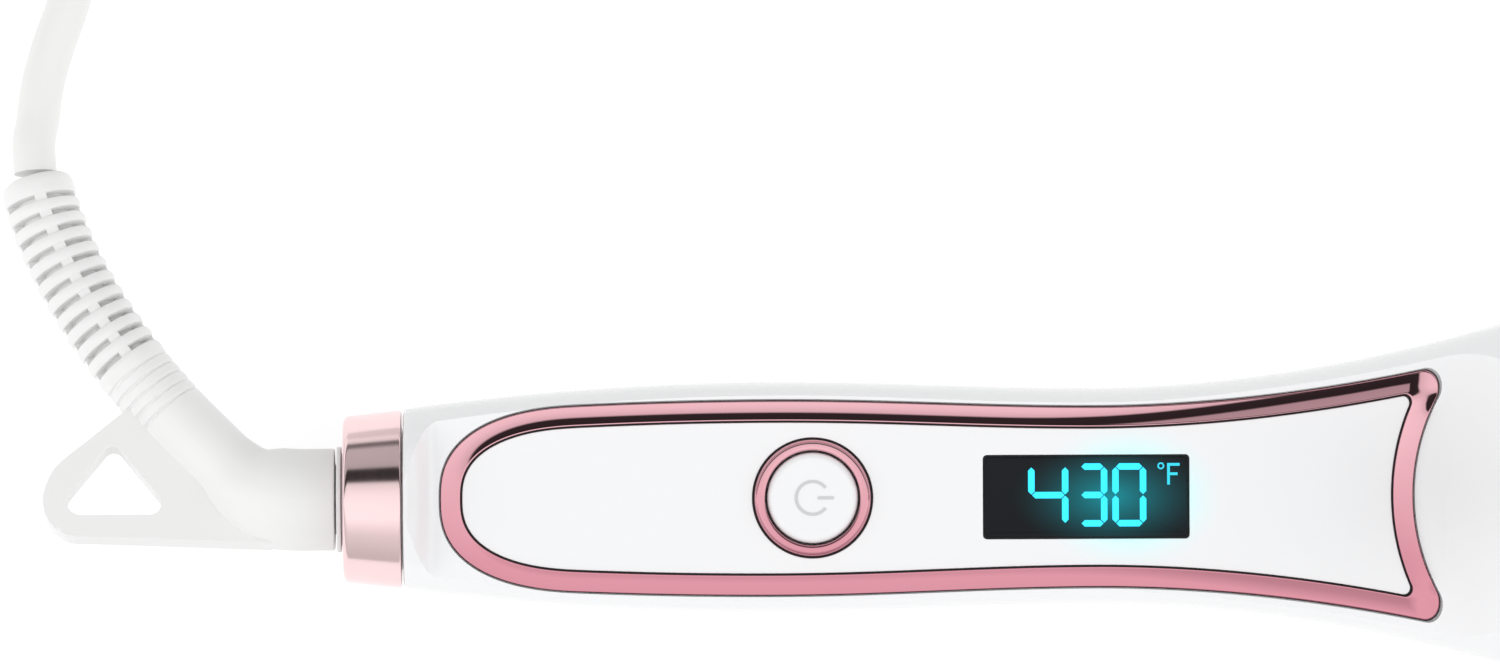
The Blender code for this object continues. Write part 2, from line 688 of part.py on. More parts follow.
def make_tail(coats, iron):
    front, tail = COLLAR_FRONT_DIAMETER / 2, COLLAR_TAIL_DIAMETER / 2
    bore = BUSH_DIAMETER / 2 + GAP
    inner = tail - COLLAR_WALL
    profile = [(0.0, bore), (0.0, tail - 0.5 * MM), (0.5 * MM, tail), (COLLAR_LENGTH, front)]
    profile += [(COLLAR_LENGTH, inner), (COLLAR_WALL, inner), (COLLAR_WALL, bore)]
    finish_mesh("tail_collar", turned(profile, True), coats["rose_gold"], iron)
    flange, body, hole = BUSH_FLANGE_DIAMETER / 2, BUSH_DIAMETER / 2, BUSH_BORE / 2
    profile = [(-GAP - BUSH_FLANGE, hole), (-GAP - BUSH_FLANGE, flange), (-GAP, flange), (-GAP, body)]
    profile += [(8 * MM, body), (8 * MM, hole)]
    finish_mesh("swivel_bush", turned(profile, True), coats["bush"], iron)
    block = prism(box_outline(14.6 * MM, 26 * MM, -4.8 * MM, 4.8 * MM), "Z", -9.6 * MM, -6.8 * MM)
    finish_mesh("brush_holder", block, coats["black"], iron)
    for name, x in zip(("brush_live", "brush_neutral"), slip_ring_places()):
        low, top = -6.8 * MM + GAP, -RING_DIAMETER / 2 - GAP
        outline = [(-3.5 * MM, low), (3.5 * MM, low), (3.5 * MM, low + 0.4 * MM), (1.2 * MM, top)]
        outline += [(-1.2 * MM, top), (-3.5 * MM, low + 0.4 * MM)]
        finish_mesh(name, prism(outline, "X", x - MM, x + MM), coats["brass"], iron)


def slip_ring_places():
    return [16.0 * MM, 22.0 * MM]


def make_swivel(coats, swivel):
    flange, shaft = BUSH_DIAMETER / 2 - 0.2 * MM, ROTOR_DIAMETER / 2
    profile = [(8.4 * MM, flange), (9.6 * MM, flange), (9.6 * MM, shaft), (26 * MM, shaft)]
    finish_mesh("swivel_rotor", turned(profile, False, 20), coats["black"], swivel)
    for name, x in zip(("slip_ring_live", "slip_ring_neutral"), slip_ring_places()):
        bore, rim = shaft + GAP, RING_DIAMETER / 2
        profile = [(x - 1.2 * MM, bore), (x - 1.2 * MM, rim), (x + 1.2 * MM, rim), (x + 1.2 * MM, bore)]
        finish_mesh(name, turned(profile, True, 20), coats["brass"], swivel)


def relief_centreline():
    """Centre line of the strain relief in its own plane, from the cord end to the tail collar."""
    points = [(-44.6, 47.6), (-43.2, 42.4), (-41.3, 37.5), (-39.0, 32.7), (-36.3, 28.0), (-33.2, 23.3)]
    points += [(-30.0, 19.0), (-27.2, 15.6), (-24.0, 11.9), (-20.5, 8.3), (-17.0, 4.8), (-14.0, 2.0)]
    points += [(-10.5, 0.4), (-7.0, 0.0), (-4.0, 0.0)]
    return [(x * MM, y * MM, 0.0) for x, y in points]


def relief_radius(along, whole):
    """Slim and even along the sleeve, swelling through the elbow to the tube's radius."""
    share = smooth_step((along / whole - 0.76) / 0.15)
    return SLEEVE_DIAMETER / 2 + (TUBE_DIAMETER - SLEEVE_DIAMETER) / 2 * share


def relief_body():
    route = smooth_curve(relief_centreline(), 2.6 * MM)
    lengths = [0.0]
    for a, b in zip(route, route[1:]):
        lengths.append(lengths[-1] + (b - a).length)
    stations = []
    for i, point in enumerate(route):
        ahead = route[min(i + 1, len(route) - 1)] - route[max(i - 1, 0)]
        stations.append((point, ahead.normalized(), relief_radius(lengths[i], lengths[-1])))
    end, heading = stations[0][0], stations[0][1]
    stations.insert(0, (end - heading * 0.9 * MM, heading, SLEEVE_DIAMETER / 2 - 1.2 * MM))
    forward = Vector((1.0, 0.0, 0.0))
    face = -GAP - BUSH_FLANGE - GAP
    shank = BUSH_BORE / 2 - GAP
    stations.append((Vector((face, 0.0, 0.0)), forward, TUBE_DIAMETER / 2))
    stations.append((Vector((face, 0.0, 0.0)), forward, shank))
    stations.append((Vector((8 * MM, 0.0, 0.0)), forward, shank))
    rings = []
    for point, heading, radius in stations:
        side = Vector((-heading.y, heading.x, 0.0))
        turns = [2 * math.pi * i / 20 for i in range(20)]
        rings.append([point + side * radius * math.cos(t) + Vector((0, 0, radius * math.sin(t)))
                for t in turns])
    shape = bmesh.new()
    loft(shape, rings)
    return shape


def loop_outline():
    """Outline of the flat hanging loop, in the strain relief's plane."""
    points = [(-27.0, 16.4), (-32.0, 12.3), (-41.0, 4.9), (-42.6, 2.4), (-43.3, -0.4), (-42.7, -3.0)]
    points += [(-41.2, -4.9), (-39.0, -5.8), (-9.0, -6.9), (-9.0, -2.0), (-14.0, 2.0), (-22.0, 10.0)]
    return [(x * MM, y * MM) for x, y in points]


def loop_hole_outline():
    corners = [(-33.2, 6.0, 1.5, 35, 135), (-37.8, -0.6, 2.1, 135, 270), (-27.9, -1.0, 1.7, 270, 395)]
    points = []
    for x, y, radius, start, end in corners:
        for step in range(5):
            angle = math.radians(start + (end - start) * step / 4)
            points.append(((x + radius * math.cos(angle)) * MM, (y + radius * math.sin(angle)) * MM))
    return points


def make_strain_relief(coats, swivel):
    frame = empty("strain_relief_plane", (0.0, 0.0, 0.0), swivel)
    frame.rotation_euler = (RELIEF_LEAN, 0.0, 0.0)
    relief = finish_mesh("strain_relief", relief_body(), coats["soft"], frame)
    half = LOOP_THICKNESS / 2
    loop = finish_mesh("loop_plate", prism(loop_outline(), "Z", -half, half), None, frame)
    hole = finish_mesh("loop_hole", prism(loop_hole_outline(), "Z", -2 * half, 2 * half), None, frame)
    boolean(relief, [loop], "UNION")
    boolean(relief, [hole])


# ---------------------------------------------------------------- cord

def cord_start():
    """Where the cord leaves the sleeve, in iron coordinates."""
    x, y, _ = relief_centreline()[0]
    return Vector((x, y * math.cos(RELIEF_LEAN), y * math.sin(RELIEF_LEAN)))


def make_cord(coats, swivel):
    start = cord_start()
    lead = [(-44.80, 48.05), (-44.85, 51.5), (-44.3, 55.0), (-43.6, 60.0), (-42.1, 65.5), (-40.2, 70.8)]
    lead += [(-38.8, 76.0), (-38.2, 82.0), (-38.3, 89.0), (-38.8, 97.0), (-39.5, 106.0), (-39.9, 115.0)]
    lead += [(-40.0, 124.0)]
    drops = [0.0, 0.35, 0.75, 0.95]
    route = []
    for i, (x, y) in enumerate(lead):
        share = drops[i] if i < len(drops) else 1.0
        route.append((x * MM, y * MM, start.z + (CORD_REST - start.z) * share))
    tube("cord_lead", route, CORD_RADIUS, 2.2 * CORD_DIAMETER, coats["cord"], swivel)
    rim = COIL_COLUMNS * COIL_PITCH / 2
    low = -GRIP_DEPTH + TIE_THICKNESS + GAP
    high = low + (COIL_LAYERS - 1) * COIL_LAYER_PITCH + CORD_DIAMETER
    corner = 2.2 * MM
    inner, outer = COIL_MIDDLE_RADIUS - rim, COIL_MIDDLE_RADIUS + rim
    profile = [(low, inner + corner), (low, outer - corner), (low + corner, outer), (high - corner, outer)]
    profile += [(high, outer - corner), (high, inner + corner), (high - corner, inner),
            (low + corner, inner)]
    finish_mesh("cord_coil", turned(profile, True, 40, (COIL_X, COIL_Y), "Z"), coats["cord"], swivel)
    tail = [(38.6, 168.8), (46.6, 163.6), (54.4, 158.6), (61.4, 153.4), (67.4, 148.2)]
    tail += [(70.4, 145.5)]
    heights = [0.0, 0.0, 0.15, 0.6, 0.98, 1.0]
    plug = -GRIP_DEPTH + PLUG_HEIGHT
    route = [(x * MM, y * MM, CORD_REST + (plug - CORD_REST) * h) for (x, y), h in zip(tail, heights)]
    tube("cord_tail", route, CORD_RADIUS, 2.2 * CORD_DIAMETER, coats["cord"], swivel)
    make_tie(coats, swivel, inner, outer, low, high)
    make_plug(coats, swivel, Vector(route[-1]), Vector(route[-1]) - Vector(route[-2]))


def make_tie(coats, swivel, inner, outer, low, high):
    """A band round the coil at its side away from the cord's ends."""
    half = TIE_WIDTH / 2
    grow = GAP + TIE_THICKNESS
    turn = math.radians(-62)
    along = Vector((-math.sin(turn), math.cos(turn), 0.0))
    out = Vector((math.cos(turn), math.sin(turn), 0.0))
    centre = Vector((COIL_X, COIL_Y, 0.0))
    inner = math.sqrt(inner * inner - half * half)
    sections = []
    for offset in (-half, half):
        for extra in (grow, GAP):
            a, b = inner - extra, outer + extra
            c, d = low - extra, high + extra
            corners = rounded_outline(a, b, c, d, 1.6 * MM, 2)
            sections.append([centre + along * offset + out * r + Vector((0, 0, z)) for r, z in corners])
    shape = bmesh.new()
    order = [sections[0], sections[2], sections[3], sections[1]]
    made = loft(shape, order, capped=False)
    for i in range(len(made[0])):
        j = (i + 1) % len(made[0])
        shape.faces.new((made[3][i], made[3][j], made[0][j], made[0][i]))
    finish_mesh("cord_tie", shape, coats["black"], swivel)


def make_plug(coats, swivel, end, heading):
    """A two-blade plug lying on its side beside the coil."""
    turn = math.atan2(heading.y, heading.x)
    place = empty("plug_place", end + Vector((math.cos(turn), math.sin(turn), 0.0)) * GAP * 2, swivel)
    place.location.z = -GRIP_DEPTH + PLUG_HEIGHT
    place.rotation_euler = (0.0, 0.0, turn)
    stations = [(0.0, 4.2, 4.2), (10.0, 5.0, 5.0), (14.0, 8.5, 6.4), (20.0, 12.0, 7.1), (31.0, 12.5, 7.2)]
    stations += [(34.0, 11.6, 6.6)]
    rings = []
    for x, width, height in stations:
        outline = rounded_outline(-width, width, -height, height, min(width, height) * 0.8, 3)
        rings.append([(x * MM, y * MM, z * MM) for y, z in outline])
    shape = bmesh.new()
    loft(shape, rings)
    finish_mesh("plug_body", shape, coats["cord"], place)
    for name, y in (("plug_blade_left", BLADE_OFFSET), ("plug_blade_right", -BLADE_OFFSET)):
        outline = rounded_outline(BLADE_START + GAP, BLADE_END, -BLADE_HALF_WIDTH, BLADE_HALF_WIDTH,
                0.9 * MM, 2)
        half = BLADE_THICKNESS / 2
        finish_mesh(name, prism(outline, "Y", y - half, y + half), coats["steel"], place)


# ---------------------------------------------------------------- barrel end

def make_front(coats, iron):
    start = HANDLE_END + GAP
    end = start + BEZEL_THICKNESS
    bore = SHIELD_NECK_DIAMETER / 2 + GAP
    shape = bmesh.new()
    rings = []
    count = 40
    width, height = half_width(HANDLE_END) - 0.9 * MM, GRIP_DEPTH - GAP
    for x, shrink in ((start, 0.0), (end - 0.9 * MM, 0.0), (end, 0.9 * MM)):
        turns = [2 * math.pi * i / count for i in range(count)]
        rings.append([(x, (width - shrink) * math.cos(t), (height - shrink) * math.sin(t)) for t in turns])
    for x in (end, start):
        rings.append([(x, bore * math.cos(2 * math.pi * i / count), bore * math.sin(2 * math.pi * i / count))
                      for i in range(count)])
    made = loft(shape, rings, capped=False)
    for i in range(count):
        j = (i + 1) % count
        shape.faces.new((made[-1][i], made[-1][j], made[0][j], made[0][i]))
    finish_mesh("front_bezel", shape, coats["rose_gold"], iron)
    neck, hole = SHIELD_NECK_DIAMETER / 2, SHIELD_BORE / 2
    spigot = BARREL_RADIUS - BARREL_WALL - GAP
    back = BULKHEAD_AT - GAP
    flange_end = SHIELD_FLANGE_AT + SHIELD_FLANGE
    profile = [(back - 2.2 * MM, hole), (back - 2.2 * MM, neck + 1.5 * MM), (back, neck + 1.5 * MM),
            (back, neck)]
    profile += [(SHIELD_FLANGE_AT, neck), (SHIELD_FLANGE_AT, BARREL_RADIUS + 0.4 * MM)]
    profile += [(flange_end - 0.6 * MM, BARREL_RADIUS + 0.4 * MM), (flange_end, BARREL_RADIUS - 0.2 * MM)]
    profile += [(flange_end, spigot), (flange_end + 12 * MM, spigot), (flange_end + 12 * MM, hole)]
    finish_mesh("heat_shield", turned(profile, True), coats["black"], iron)
    inner = BARREL_RADIUS - BARREL_WALL
    profile = [(BARREL_START, inner), (BARREL_START, BARREL_RADIUS), (BARREL_END, BARREL_RADIUS),
            (BARREL_END, inner)]
    finish_mesh("barrel", turned(profile, True, 40), coats["barrel"], iron)
    rim = GRIP_DEPTH
    back = BARREL_END + GAP
    profile = [(back - 10 * MM, spigot - 1.5 * MM), (back - 10 * MM, spigot), (back, spigot),
            (back, rim - 0.5 * MM)]
    profile += [(back + 0.5 * MM, rim), (TIP_END - 7 * MM, rim), (TIP_END - 3 * MM, rim - 1.6 * MM)]
    profile += [(TIP_END - 0.8 * MM, rim - 4.6 * MM), (TIP_END, rim - 8 * MM)]
    hollow = turned([(back - 12 * MM, spigot - 1.5 * MM), (TIP_END - 8 * MM, spigot - 1.5 * MM)], False)
    tip = finish_mesh("cool_tip", turned(profile[1:], False), coats["black"], iron)
    boolean(tip, [finish_mesh("tip_hollow", hollow, None, iron)])


def make_heater(coats, iron):
    start, end = BARREL_START + 21 * MM, BARREL_END - 24 * MM
    plate = prism(box_outline(start, end, -7 * MM, 7 * MM), "Z", -1.5 * MM, 1.5 * MM)
    finish_mesh("ceramic_heater", plate, coats["ceramic"], iron)
    radius = BARREL_RADIUS - BARREL_WALL - GAP
    flat = math.asin((1.5 * MM + GAP) / radius)
    for name, side in (("heat_spreader_upper", 1), ("heat_spreader_lower", -1)):
        turns = [flat + (math.pi - 2 * flat) * i / 12 for i in range(13)]
        outline = [(radius * math.cos(t), side * radius * math.sin(t)) for t in turns]
        finish_mesh(name, prism(outline, "X", start - 2 * MM, end + 2 * MM), coats["aluminium"], iron)
    bead = [(start - 7 * MM, 0.4 * MM), (start - 6 * MM, 1.2 * MM), (start - 2.4 * MM, 1.2 * MM),
            (start - GAP, 0.5 * MM)]
    finish_mesh("temperature_sensor", turned(bead, False, SMALL_ROUND), coats["glass"], iron)
    fuse = [(BARREL_START - 2 * MM, 0.5 * MM), (BARREL_START, 1.9 * MM), (BARREL_START + 9 * MM, 1.9 * MM)]
    fuse += [(BARREL_START + 11 * MM, 0.5 * MM), (start - GAP, 0.5 * MM)]
    finish_mesh("thermal_fuse", turned(fuse, False, SMALL_ROUND, (-4 * MM, 0.0)), coats["steel"], iron)
    board = BOARD_END + GAP
    height = BOARD_TOP - BOARD_THICKNESS / 2
    live = [(board, 4 * MM, height), (150 * MM, 4 * MM, -2 * MM), (170 * MM, 4 * MM, -0.5 * MM)]
    live += [(190 * MM, 4 * MM, 0.0), (start - GAP, 4 * MM, 0.0)]
    tube("heater_wire_live", live, 0.9 * MM, 5 * MM, coats["wire_red"], iron, 1)
    neutral = [(board, -4 * MM, height), (150 * MM, -4 * MM, -2 * MM), (170 * MM, -4 * MM, -0.5 * MM)]
    neutral += [(BARREL_START - 2 * MM - GAP, -4 * MM, 0.0)]
    tube("heater_wire_neutral", neutral, 0.9 * MM, 5 * MM, coats["wire_white"], iron, 1)
    for name, side, coat in (("mains_wire_live", 1, "wire_red"), ("mains_wire_neutral", -1, "wire_white")):
        route = [(26 * MM + GAP, 3 * MM * side, -8.2 * MM), (35 * MM, 6.5 * MM * side, -8 * MM)]
        route += [(44 * MM, 6.5 * MM * side, -6 * MM), (BOARD_START - GAP, 5 * MM * side, height)]
        tube(name, route, 0.9 * MM, 5 * MM, coats[coat], iron, 1)


def make_bracket(coats, iron):
    inner = BARREL_RADIUS + GAP
    outer = inner + CLAMP_THICKNESS
    bracket = arc_shell(inner, outer, math.radians(38), HINGE_AT - 7 * MM, HINGE_AT + 9 * MM, 8)
    bracket = finish_mesh("hinge_bracket", bracket, coats["steel"], iron)
    ears = []
    for side in (1, -1):
        low, high = sorted((side * EAR_INNER, side * (EAR_INNER + EAR_THICKNESS)))
        ears.append(prism(ear_outline(HINGE_AT, HINGE_HEIGHT, BRACKET_RADIUS, BARREL_RADIUS - 0.8 * MM),
                "Y", low, high))
    boolean(bracket, [finish_mesh("bracket_ear", ear, None, iron) for ear in ears], "UNION")
    hole = disc("Y", HINGE_AT, HINGE_HEIGHT, PIN_DIAMETER / 2 + GAP, -12 * MM, 12 * MM)
    screw_holes = [disc("Z", HINGE_AT - 4.8 * MM, side * 2.6 * MM, 1.0 * MM, 10 * MM, 20 * MM)
            for side in (1, -1)]
    boolean(bracket, [finish_mesh("bracket_hole", cut, None, iron) for cut in [hole] + screw_holes])
    profile = [(-EAR_INNER - 2.4 * MM, PIN_DIAMETER / 2), (EAR_INNER + 2.4 * MM, PIN_DIAMETER / 2)]
    pin = turned(profile, False, SMALL_ROUND)
    bmesh.ops.rotate(pin, verts=pin.verts, matrix=Matrix.Rotation(math.pi / 2, 3, "Z"))
    bmesh.ops.translate(pin, verts=pin.verts, vec=(HINGE_AT, 0.0, HINGE_HEIGHT))
    finish_mesh("hinge_pin", pin, coats["steel"], iron)
    for name, side in (("bracket_screw_left", 1), ("bracket_screw_right", -1)):
        base = outer + GAP
        profile = [(base - 0.9 * MM, 0.7 * MM), (base, 0.7 * MM), (base, 1.3 * MM),
                (base + 0.6 * MM, 1.3 * MM)]
        place = (HINGE_AT - 4.8 * MM, side * 2.6 * MM)
        finish_mesh(name, turned(profile, False, 10, place, "Z"), coats["steel"], iron)


def ear_outline(x, z, radius, base):
    turns = [math.pi * i / 8 for i in range(9)]
    return [(x + radius * math.cos(t), z + radius * math.sin(t))
            for t in turns] + [(x - radius, base), (x + radius, base)]


def make_clamp(coats, iron):
    hinge = empty("clamp_hinge", (HINGE_AT, 0.0, HINGE_HEIGHT), iron)
    inner = BARREL_RADIUS + GAP
    outer = inner + CLAMP_THICKNESS
    shape = arc_shell(inner, outer, CLAMP_HALF_ANGLE, HINGE_AT + 12 * MM, HINGE_AT + 12 * MM + CLAMP_LENGTH,
            14)
    bmesh.ops.translate(shape, verts=shape.verts, vec=(-HINGE_AT, 0.0, -HINGE_HEIGHT))
    spoon = finish_mesh("clamp_spoon", shape, coats["barrel"], hinge)
    half = EAR_INNER - 0.9 * MM
    boolean(spoon, [finish_mesh("clamp_strip", prism(strip_outline(), "Y", -half, half), None, hinge)],
            "UNION")
    slope = empty("lever_slope", (-2 * MM, 0.0, 4.2 * MM), hinge)
    slope.rotation_euler = (0.0, LEVER_RISE, 0.0)
    bores = [disc("Z", along, 0.0, RIVET_BORE, -4 * MM, 8 * MM) for along in rivet_places()]
    boolean(spoon, [finish_mesh("rivet_bore", bore, None, slope) for bore in bores])
    ears = []
    for side in (1, -1):
        edge = half - 0.15 * MM
        low, high = sorted((side * edge, side * (edge - EAR_THICKNESS)))
        turns = [math.pi + math.pi * i / 8 for i in range(9)]
        outline = [(CLAMP_EAR_RADIUS * math.cos(t), CLAMP_EAR_RADIUS * math.sin(t)) for t in turns]
        outline += [(CLAMP_EAR_RADIUS, 3.4 * MM), (-CLAMP_EAR_RADIUS, 3.9 * MM)]
        ears.append(finish_mesh("clamp_ear", prism(outline, "Y", low, high), None, hinge))
    boolean(spoon, ears, "UNION")
    bore = disc("Y", 0.0, 0.0, PIN_DIAMETER / 2 + GAP, -12 * MM, 12 * MM, 15)
    boolean(spoon, [finish_mesh("clamp_bore", bore, None, hinge)])
    pad_low = STRIP_THICKNESS / 2 + GAP
    outline = rounded_outline(-LEVER_LENGTH - 1.2 * MM, -4.5 * MM, -8.5 * MM, 8.5 * MM, 3.5 * MM, 4)
    pad = finish_mesh("thumb_lever", prism(outline, "Z", pad_low, pad_low + LEVER_THICKNESS),
            coats["white"], slope)
    cuts = [disc("Z", along, 0.0, RIVET_BORE, 0.0, 8 * MM) for along in rivet_places()]
    boolean(pad, [finish_mesh("pad_bore", cut, None, slope) for cut in cuts])
    for name, along in zip(("lever_rivet_rear", "lever_rivet_front"), rivet_places()):
        top = pad_low + LEVER_THICKNESS + GAP
        under = -STRIP_THICKNESS / 2 - GAP
        shank = RIVET_BORE - GAP
        profile = [(under - 0.7 * MM, 2.2 * MM), (under, 2.2 * MM), (under, shank), (top, shank)]
        profile += [(top, 2.3 * MM), (top + 0.5 * MM, 1.8 * MM)]
        finish_mesh(name, turned(profile, False, SMALL_ROUND, (along, 0.0), "Z"), coats["steel"], slope)
    make_spring(coats, iron)


def rivet_places():
    return [-23.5 * MM, -9.5 * MM]


def strip_outline():
    """Side view of the strip that carries the lever, about the hinge pin."""
    rear = Vector((-2.0, 4.2)) + Vector((-math.cos(LEVER_RISE), math.sin(LEVER_RISE))) * (LEVER_LENGTH / MM)
    centre = [rear, Vector((-2.0, 4.2)), Vector((2.5, 3.5)), Vector((12.0, -2.0)), Vector((15.0, -3.1)),
            Vector((20.0, -3.4))]
    above, below = [], []
    for i, point in enumerate(centre):
        ahead = (centre[min(i + 1, len(centre) - 1)] - centre[max(i - 1, 0)]).normalized()
        normal = Vector((-ahead.y, ahead.x)) * (STRIP_THICKNESS / MM / 2)
        above.append((point + normal) * MM)
        below.append((point - normal) * MM)
    return [tuple(point) for point in above + list(reversed(below))]


def make_spring(coats, iron):
    """Torsion spring round the hinge pin: one leg on the bracket, the other under the clamp strip."""
    mean, wire, turns = 2.3 * MM, 0.4 * MM, 4
    pitch = 1.25 * MM
    route = [(8.0 * MM, -turns / 2 * pitch, -0.9 * MM), (4.0 * MM, -turns / 2 * pitch, -1.9 * MM)]
    for i in range(turns * 10 + 1):
        angle = 2 * math.pi * i / 10 - math.pi / 2
        route.append((mean * math.cos(angle), (i / 10 - turns / 2) * pitch, mean * math.sin(angle)))
    route += [(-1.6 * MM, turns / 2 * pitch, -2.35 * MM), (-3.0 * MM, turns / 2 * pitch, -2.4 * MM)]
    place = empty("spring_place", (HINGE_AT, 0.0, HINGE_HEIGHT), iron)
    tube("clamp_spring", route, wire, 2 * MM, coats["steel"], place, 1)


def make_stand(coats, iron):
    height = stand_pin_height()
    hinge = empty("stand_hinge", (STAND_PIN_AT, 0.0, height), iron)
    half = STAND_WIDTH / 2
    low = -GRIP_DEPTH + GAP / 2 - height
    top = low + STAND_THICKNESS
    turns = [-math.pi / 2 + math.pi * i / 8 for i in range(9)]
    outline = [(STAND_KNUCKLE * math.cos(t), STAND_KNUCKLE * math.sin(t)) for t in turns]
    outline += [(-3 * MM, top), (-STAND_LENGTH + MM, top), (-STAND_LENGTH, top - MM), (-STAND_LENGTH, low)]
    stand = finish_mesh("safety_stand", prism(outline, "Y", -half, half), coats["black"], hinge)
    cuts = [disc("Y", 0.0, 0.0, STAND_PIN_DIAMETER / 2 + GAP, -2 * half, 2 * half, 10)]
    boolean(stand, [finish_mesh("stand_bore", cut, None, hinge) for cut in cuts])
    reach = half + 1.2 * MM
    pin = disc("Y", STAND_PIN_AT, height, STAND_PIN_DIAMETER / 2, -reach, reach, 10)
    finish_mesh("stand_pin", pin, coats["steel"], iron)


def make_materials():
    return {
        "white": material("white_plastic", (0.90, 0.90, 0.91), 0.22),
        "soft": material("soft_white_plastic", (0.82, 0.82, 0.80), 0.45),
        "cord": material("cord_white", (0.80, 0.80, 0.79), 0.5),
        "bush": material("grey_plastic", (0.62, 0.63, 0.64), 0.4),
        "black": material("black_plastic", (0.03, 0.03, 0.035), 0.45),
        "rose_gold": material("rose_gold", (0.86, 0.58, 0.58), 0.25, 1.0),
        "barrel": material("barrel_metal", (0.72, 0.55, 0.52), 0.3, 1.0),
        "steel": material("steel", (0.62, 0.62, 0.64), 0.3, 1.0),
        "aluminium": material("aluminium", (0.75, 0.76, 0.78), 0.4, 1.0),
        "brass": material("brass", (0.78, 0.60, 0.28), 0.35, 1.0),
        "ceramic": material("ceramic", (0.85, 0.84, 0.80), 0.6),
        "board": material("circuit_board", (0.04, 0.24, 0.12), 0.5),
        "glass": material("display_glass", (0.01, 0.015, 0.02), 0.08),
        "wire_red": material("wire_red", (0.55, 0.05, 0.04), 0.5),
        "wire_white": material("wire_white", (0.80, 0.80, 0.78), 0.5),
    }


def build():
    clear_scene()
    coats = make_materials()
    tail_end = -GAP - BUSH_FLANGE
    iron = empty("iron", (-(TIP_END + tail_end) / 2, 0.0, GRIP_DEPTH))
    swivel = empty("cord_swivel", (0.0, 0.0, 0.0), iron)
    make_shells(coats, iron)
    make_face(coats, iron)
    make_button(coats, iron)
    make_electronics(coats, iron)
    make_case_screws(coats, iron)
    make_tail(coats, iron)
    make_swivel(coats, swivel)
    make_strain_relief(coats, swivel)
    make_cord(coats, swivel)
    make_front(coats, iron)
    make_heater(coats, iron)
    make_bracket(coats, iron)
    make_clamp(coats, iron)
    make_stand(coats, iron)


build()
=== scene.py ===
"""Looks of the curling iron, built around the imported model.

Lengths are in millimetres in the small tables and in metres everywhere else.  "Iron coordinates"
start on the iron's axis at the tail face of the tail collar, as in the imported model.
"""
from math import asin, atan2, cos, pi, radians, sin, sqrt

import bmesh
import bpy
from mathutils import Matrix, Vector


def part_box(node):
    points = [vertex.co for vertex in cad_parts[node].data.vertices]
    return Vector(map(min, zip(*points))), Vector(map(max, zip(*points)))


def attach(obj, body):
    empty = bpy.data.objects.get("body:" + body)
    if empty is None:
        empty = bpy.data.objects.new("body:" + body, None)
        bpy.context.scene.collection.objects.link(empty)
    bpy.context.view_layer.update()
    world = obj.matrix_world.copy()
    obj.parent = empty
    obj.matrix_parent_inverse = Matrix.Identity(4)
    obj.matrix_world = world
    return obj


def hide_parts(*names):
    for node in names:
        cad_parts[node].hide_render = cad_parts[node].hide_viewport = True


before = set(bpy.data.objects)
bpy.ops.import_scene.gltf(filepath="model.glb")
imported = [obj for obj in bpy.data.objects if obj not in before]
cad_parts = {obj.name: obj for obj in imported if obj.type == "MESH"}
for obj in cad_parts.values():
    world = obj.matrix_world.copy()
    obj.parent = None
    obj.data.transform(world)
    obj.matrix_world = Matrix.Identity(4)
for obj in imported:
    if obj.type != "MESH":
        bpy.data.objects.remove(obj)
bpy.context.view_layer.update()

MM = 0.001
GAP = 0.3 * MM

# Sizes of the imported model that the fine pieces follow
BARREL_RADIUS = 15.9 * MM
AXIS = Vector((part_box("tail_collar")[0][0], 0.0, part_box("barrel")[0][2] + BARREL_RADIUS))
HANDLE_END = 185.5 * MM
GRIP_DEPTH = 16.6 * MM
TAIL_WIDTH = 26.0 * MM
BELLY_WIDTH = 33.3 * MM
WAIST_WIDTH = 31.2 * MM
GUARD_WIDTH = 61.6 * MM
BELLY_AT = 62.3 * MM
WAIST_AT = 108.5 * MM
FLARE_POWER = 1.9
SHELL_WALL = 2.2 * MM
LOWER_BULGE = 0.08
GUARD_DEPTH = 17.2 * MM
SEAM = 0.15 * MM
FACE_HEIGHT = 7.8 * MM
FACE_WALL = 3.4 * MM
FACE_START = 13.5 * MM
FACE_RISE_AT = 158.5 * MM
FACE_RISE_END = 181.0 * MM
SEAT_DEPTH = 1.5 * MM
TRIM_START = 14.1 * MM
TRIM_END = 153.9 * MM
TRIM_END_RADIUS = 30.0 * MM
TRIM_NOSE_LENGTH = 20.0 * MM
TRIM_NOSE_POWER = 2.6
TRIM_MARGIN = 2.7 * MM
TRIM_MARGIN_TAIL = 1.3 * MM
TRIM_MARGIN_FLARE = 0.15
TRIM_WIDTH = 2.8 * MM
TRIM_PROUD = 0.5 * MM
TRIM_LEAN = 0.176
TRIM_LEAN_FLARE = 0.22
TRIM_DISH = 0.21
TRIM_CORNER = 5.5 * MM
BUTTON_AT = 67.6 * MM
BUTTON_RADIUS = 6.55 * MM
BEZEL_WIDTH = 1.55 * MM
BEZEL_PROUD = 0.9 * MM
DISPLAY_AT = 106.95 * MM
DISPLAY_LENGTH = 29.1 * MM
DISPLAY_WIDTH = 11.5 * MM
DISPLAY_LEDGE = 1.2 * MM
COLLAR_LENGTH = 8.4 * MM
COLLAR_TAIL = 12.0 * MM
COLLAR_FRONT = 12.85 * MM
COLLAR_WALL = 1.6 * MM
BUSH_RADIUS = 6.6 * MM
BUSH_BORE = 5.3 * MM
BUSH_FLANGE_RADIUS = 7.6 * MM
BUSH_FLANGE = 0.65 * MM
NECK_END = 11.0 * MM
RELIEF_LEAN = radians(-13.6)
TUBE_RADIUS = 7.35 * MM
SLEEVE_RADIUS = 5.25 * MM
LOOP_THICKNESS = 5.0 * MM
BARREL_WALL = 1.2 * MM
BARREL_START = 191.3 * MM
BARREL_END = 328.0 * MM
TIP_END = 350.0 * MM
HINGE_AT = 200.0 * MM
HINGE_HEIGHT = 20.5 * MM
CLAMP_THICKNESS = 1.0 * MM
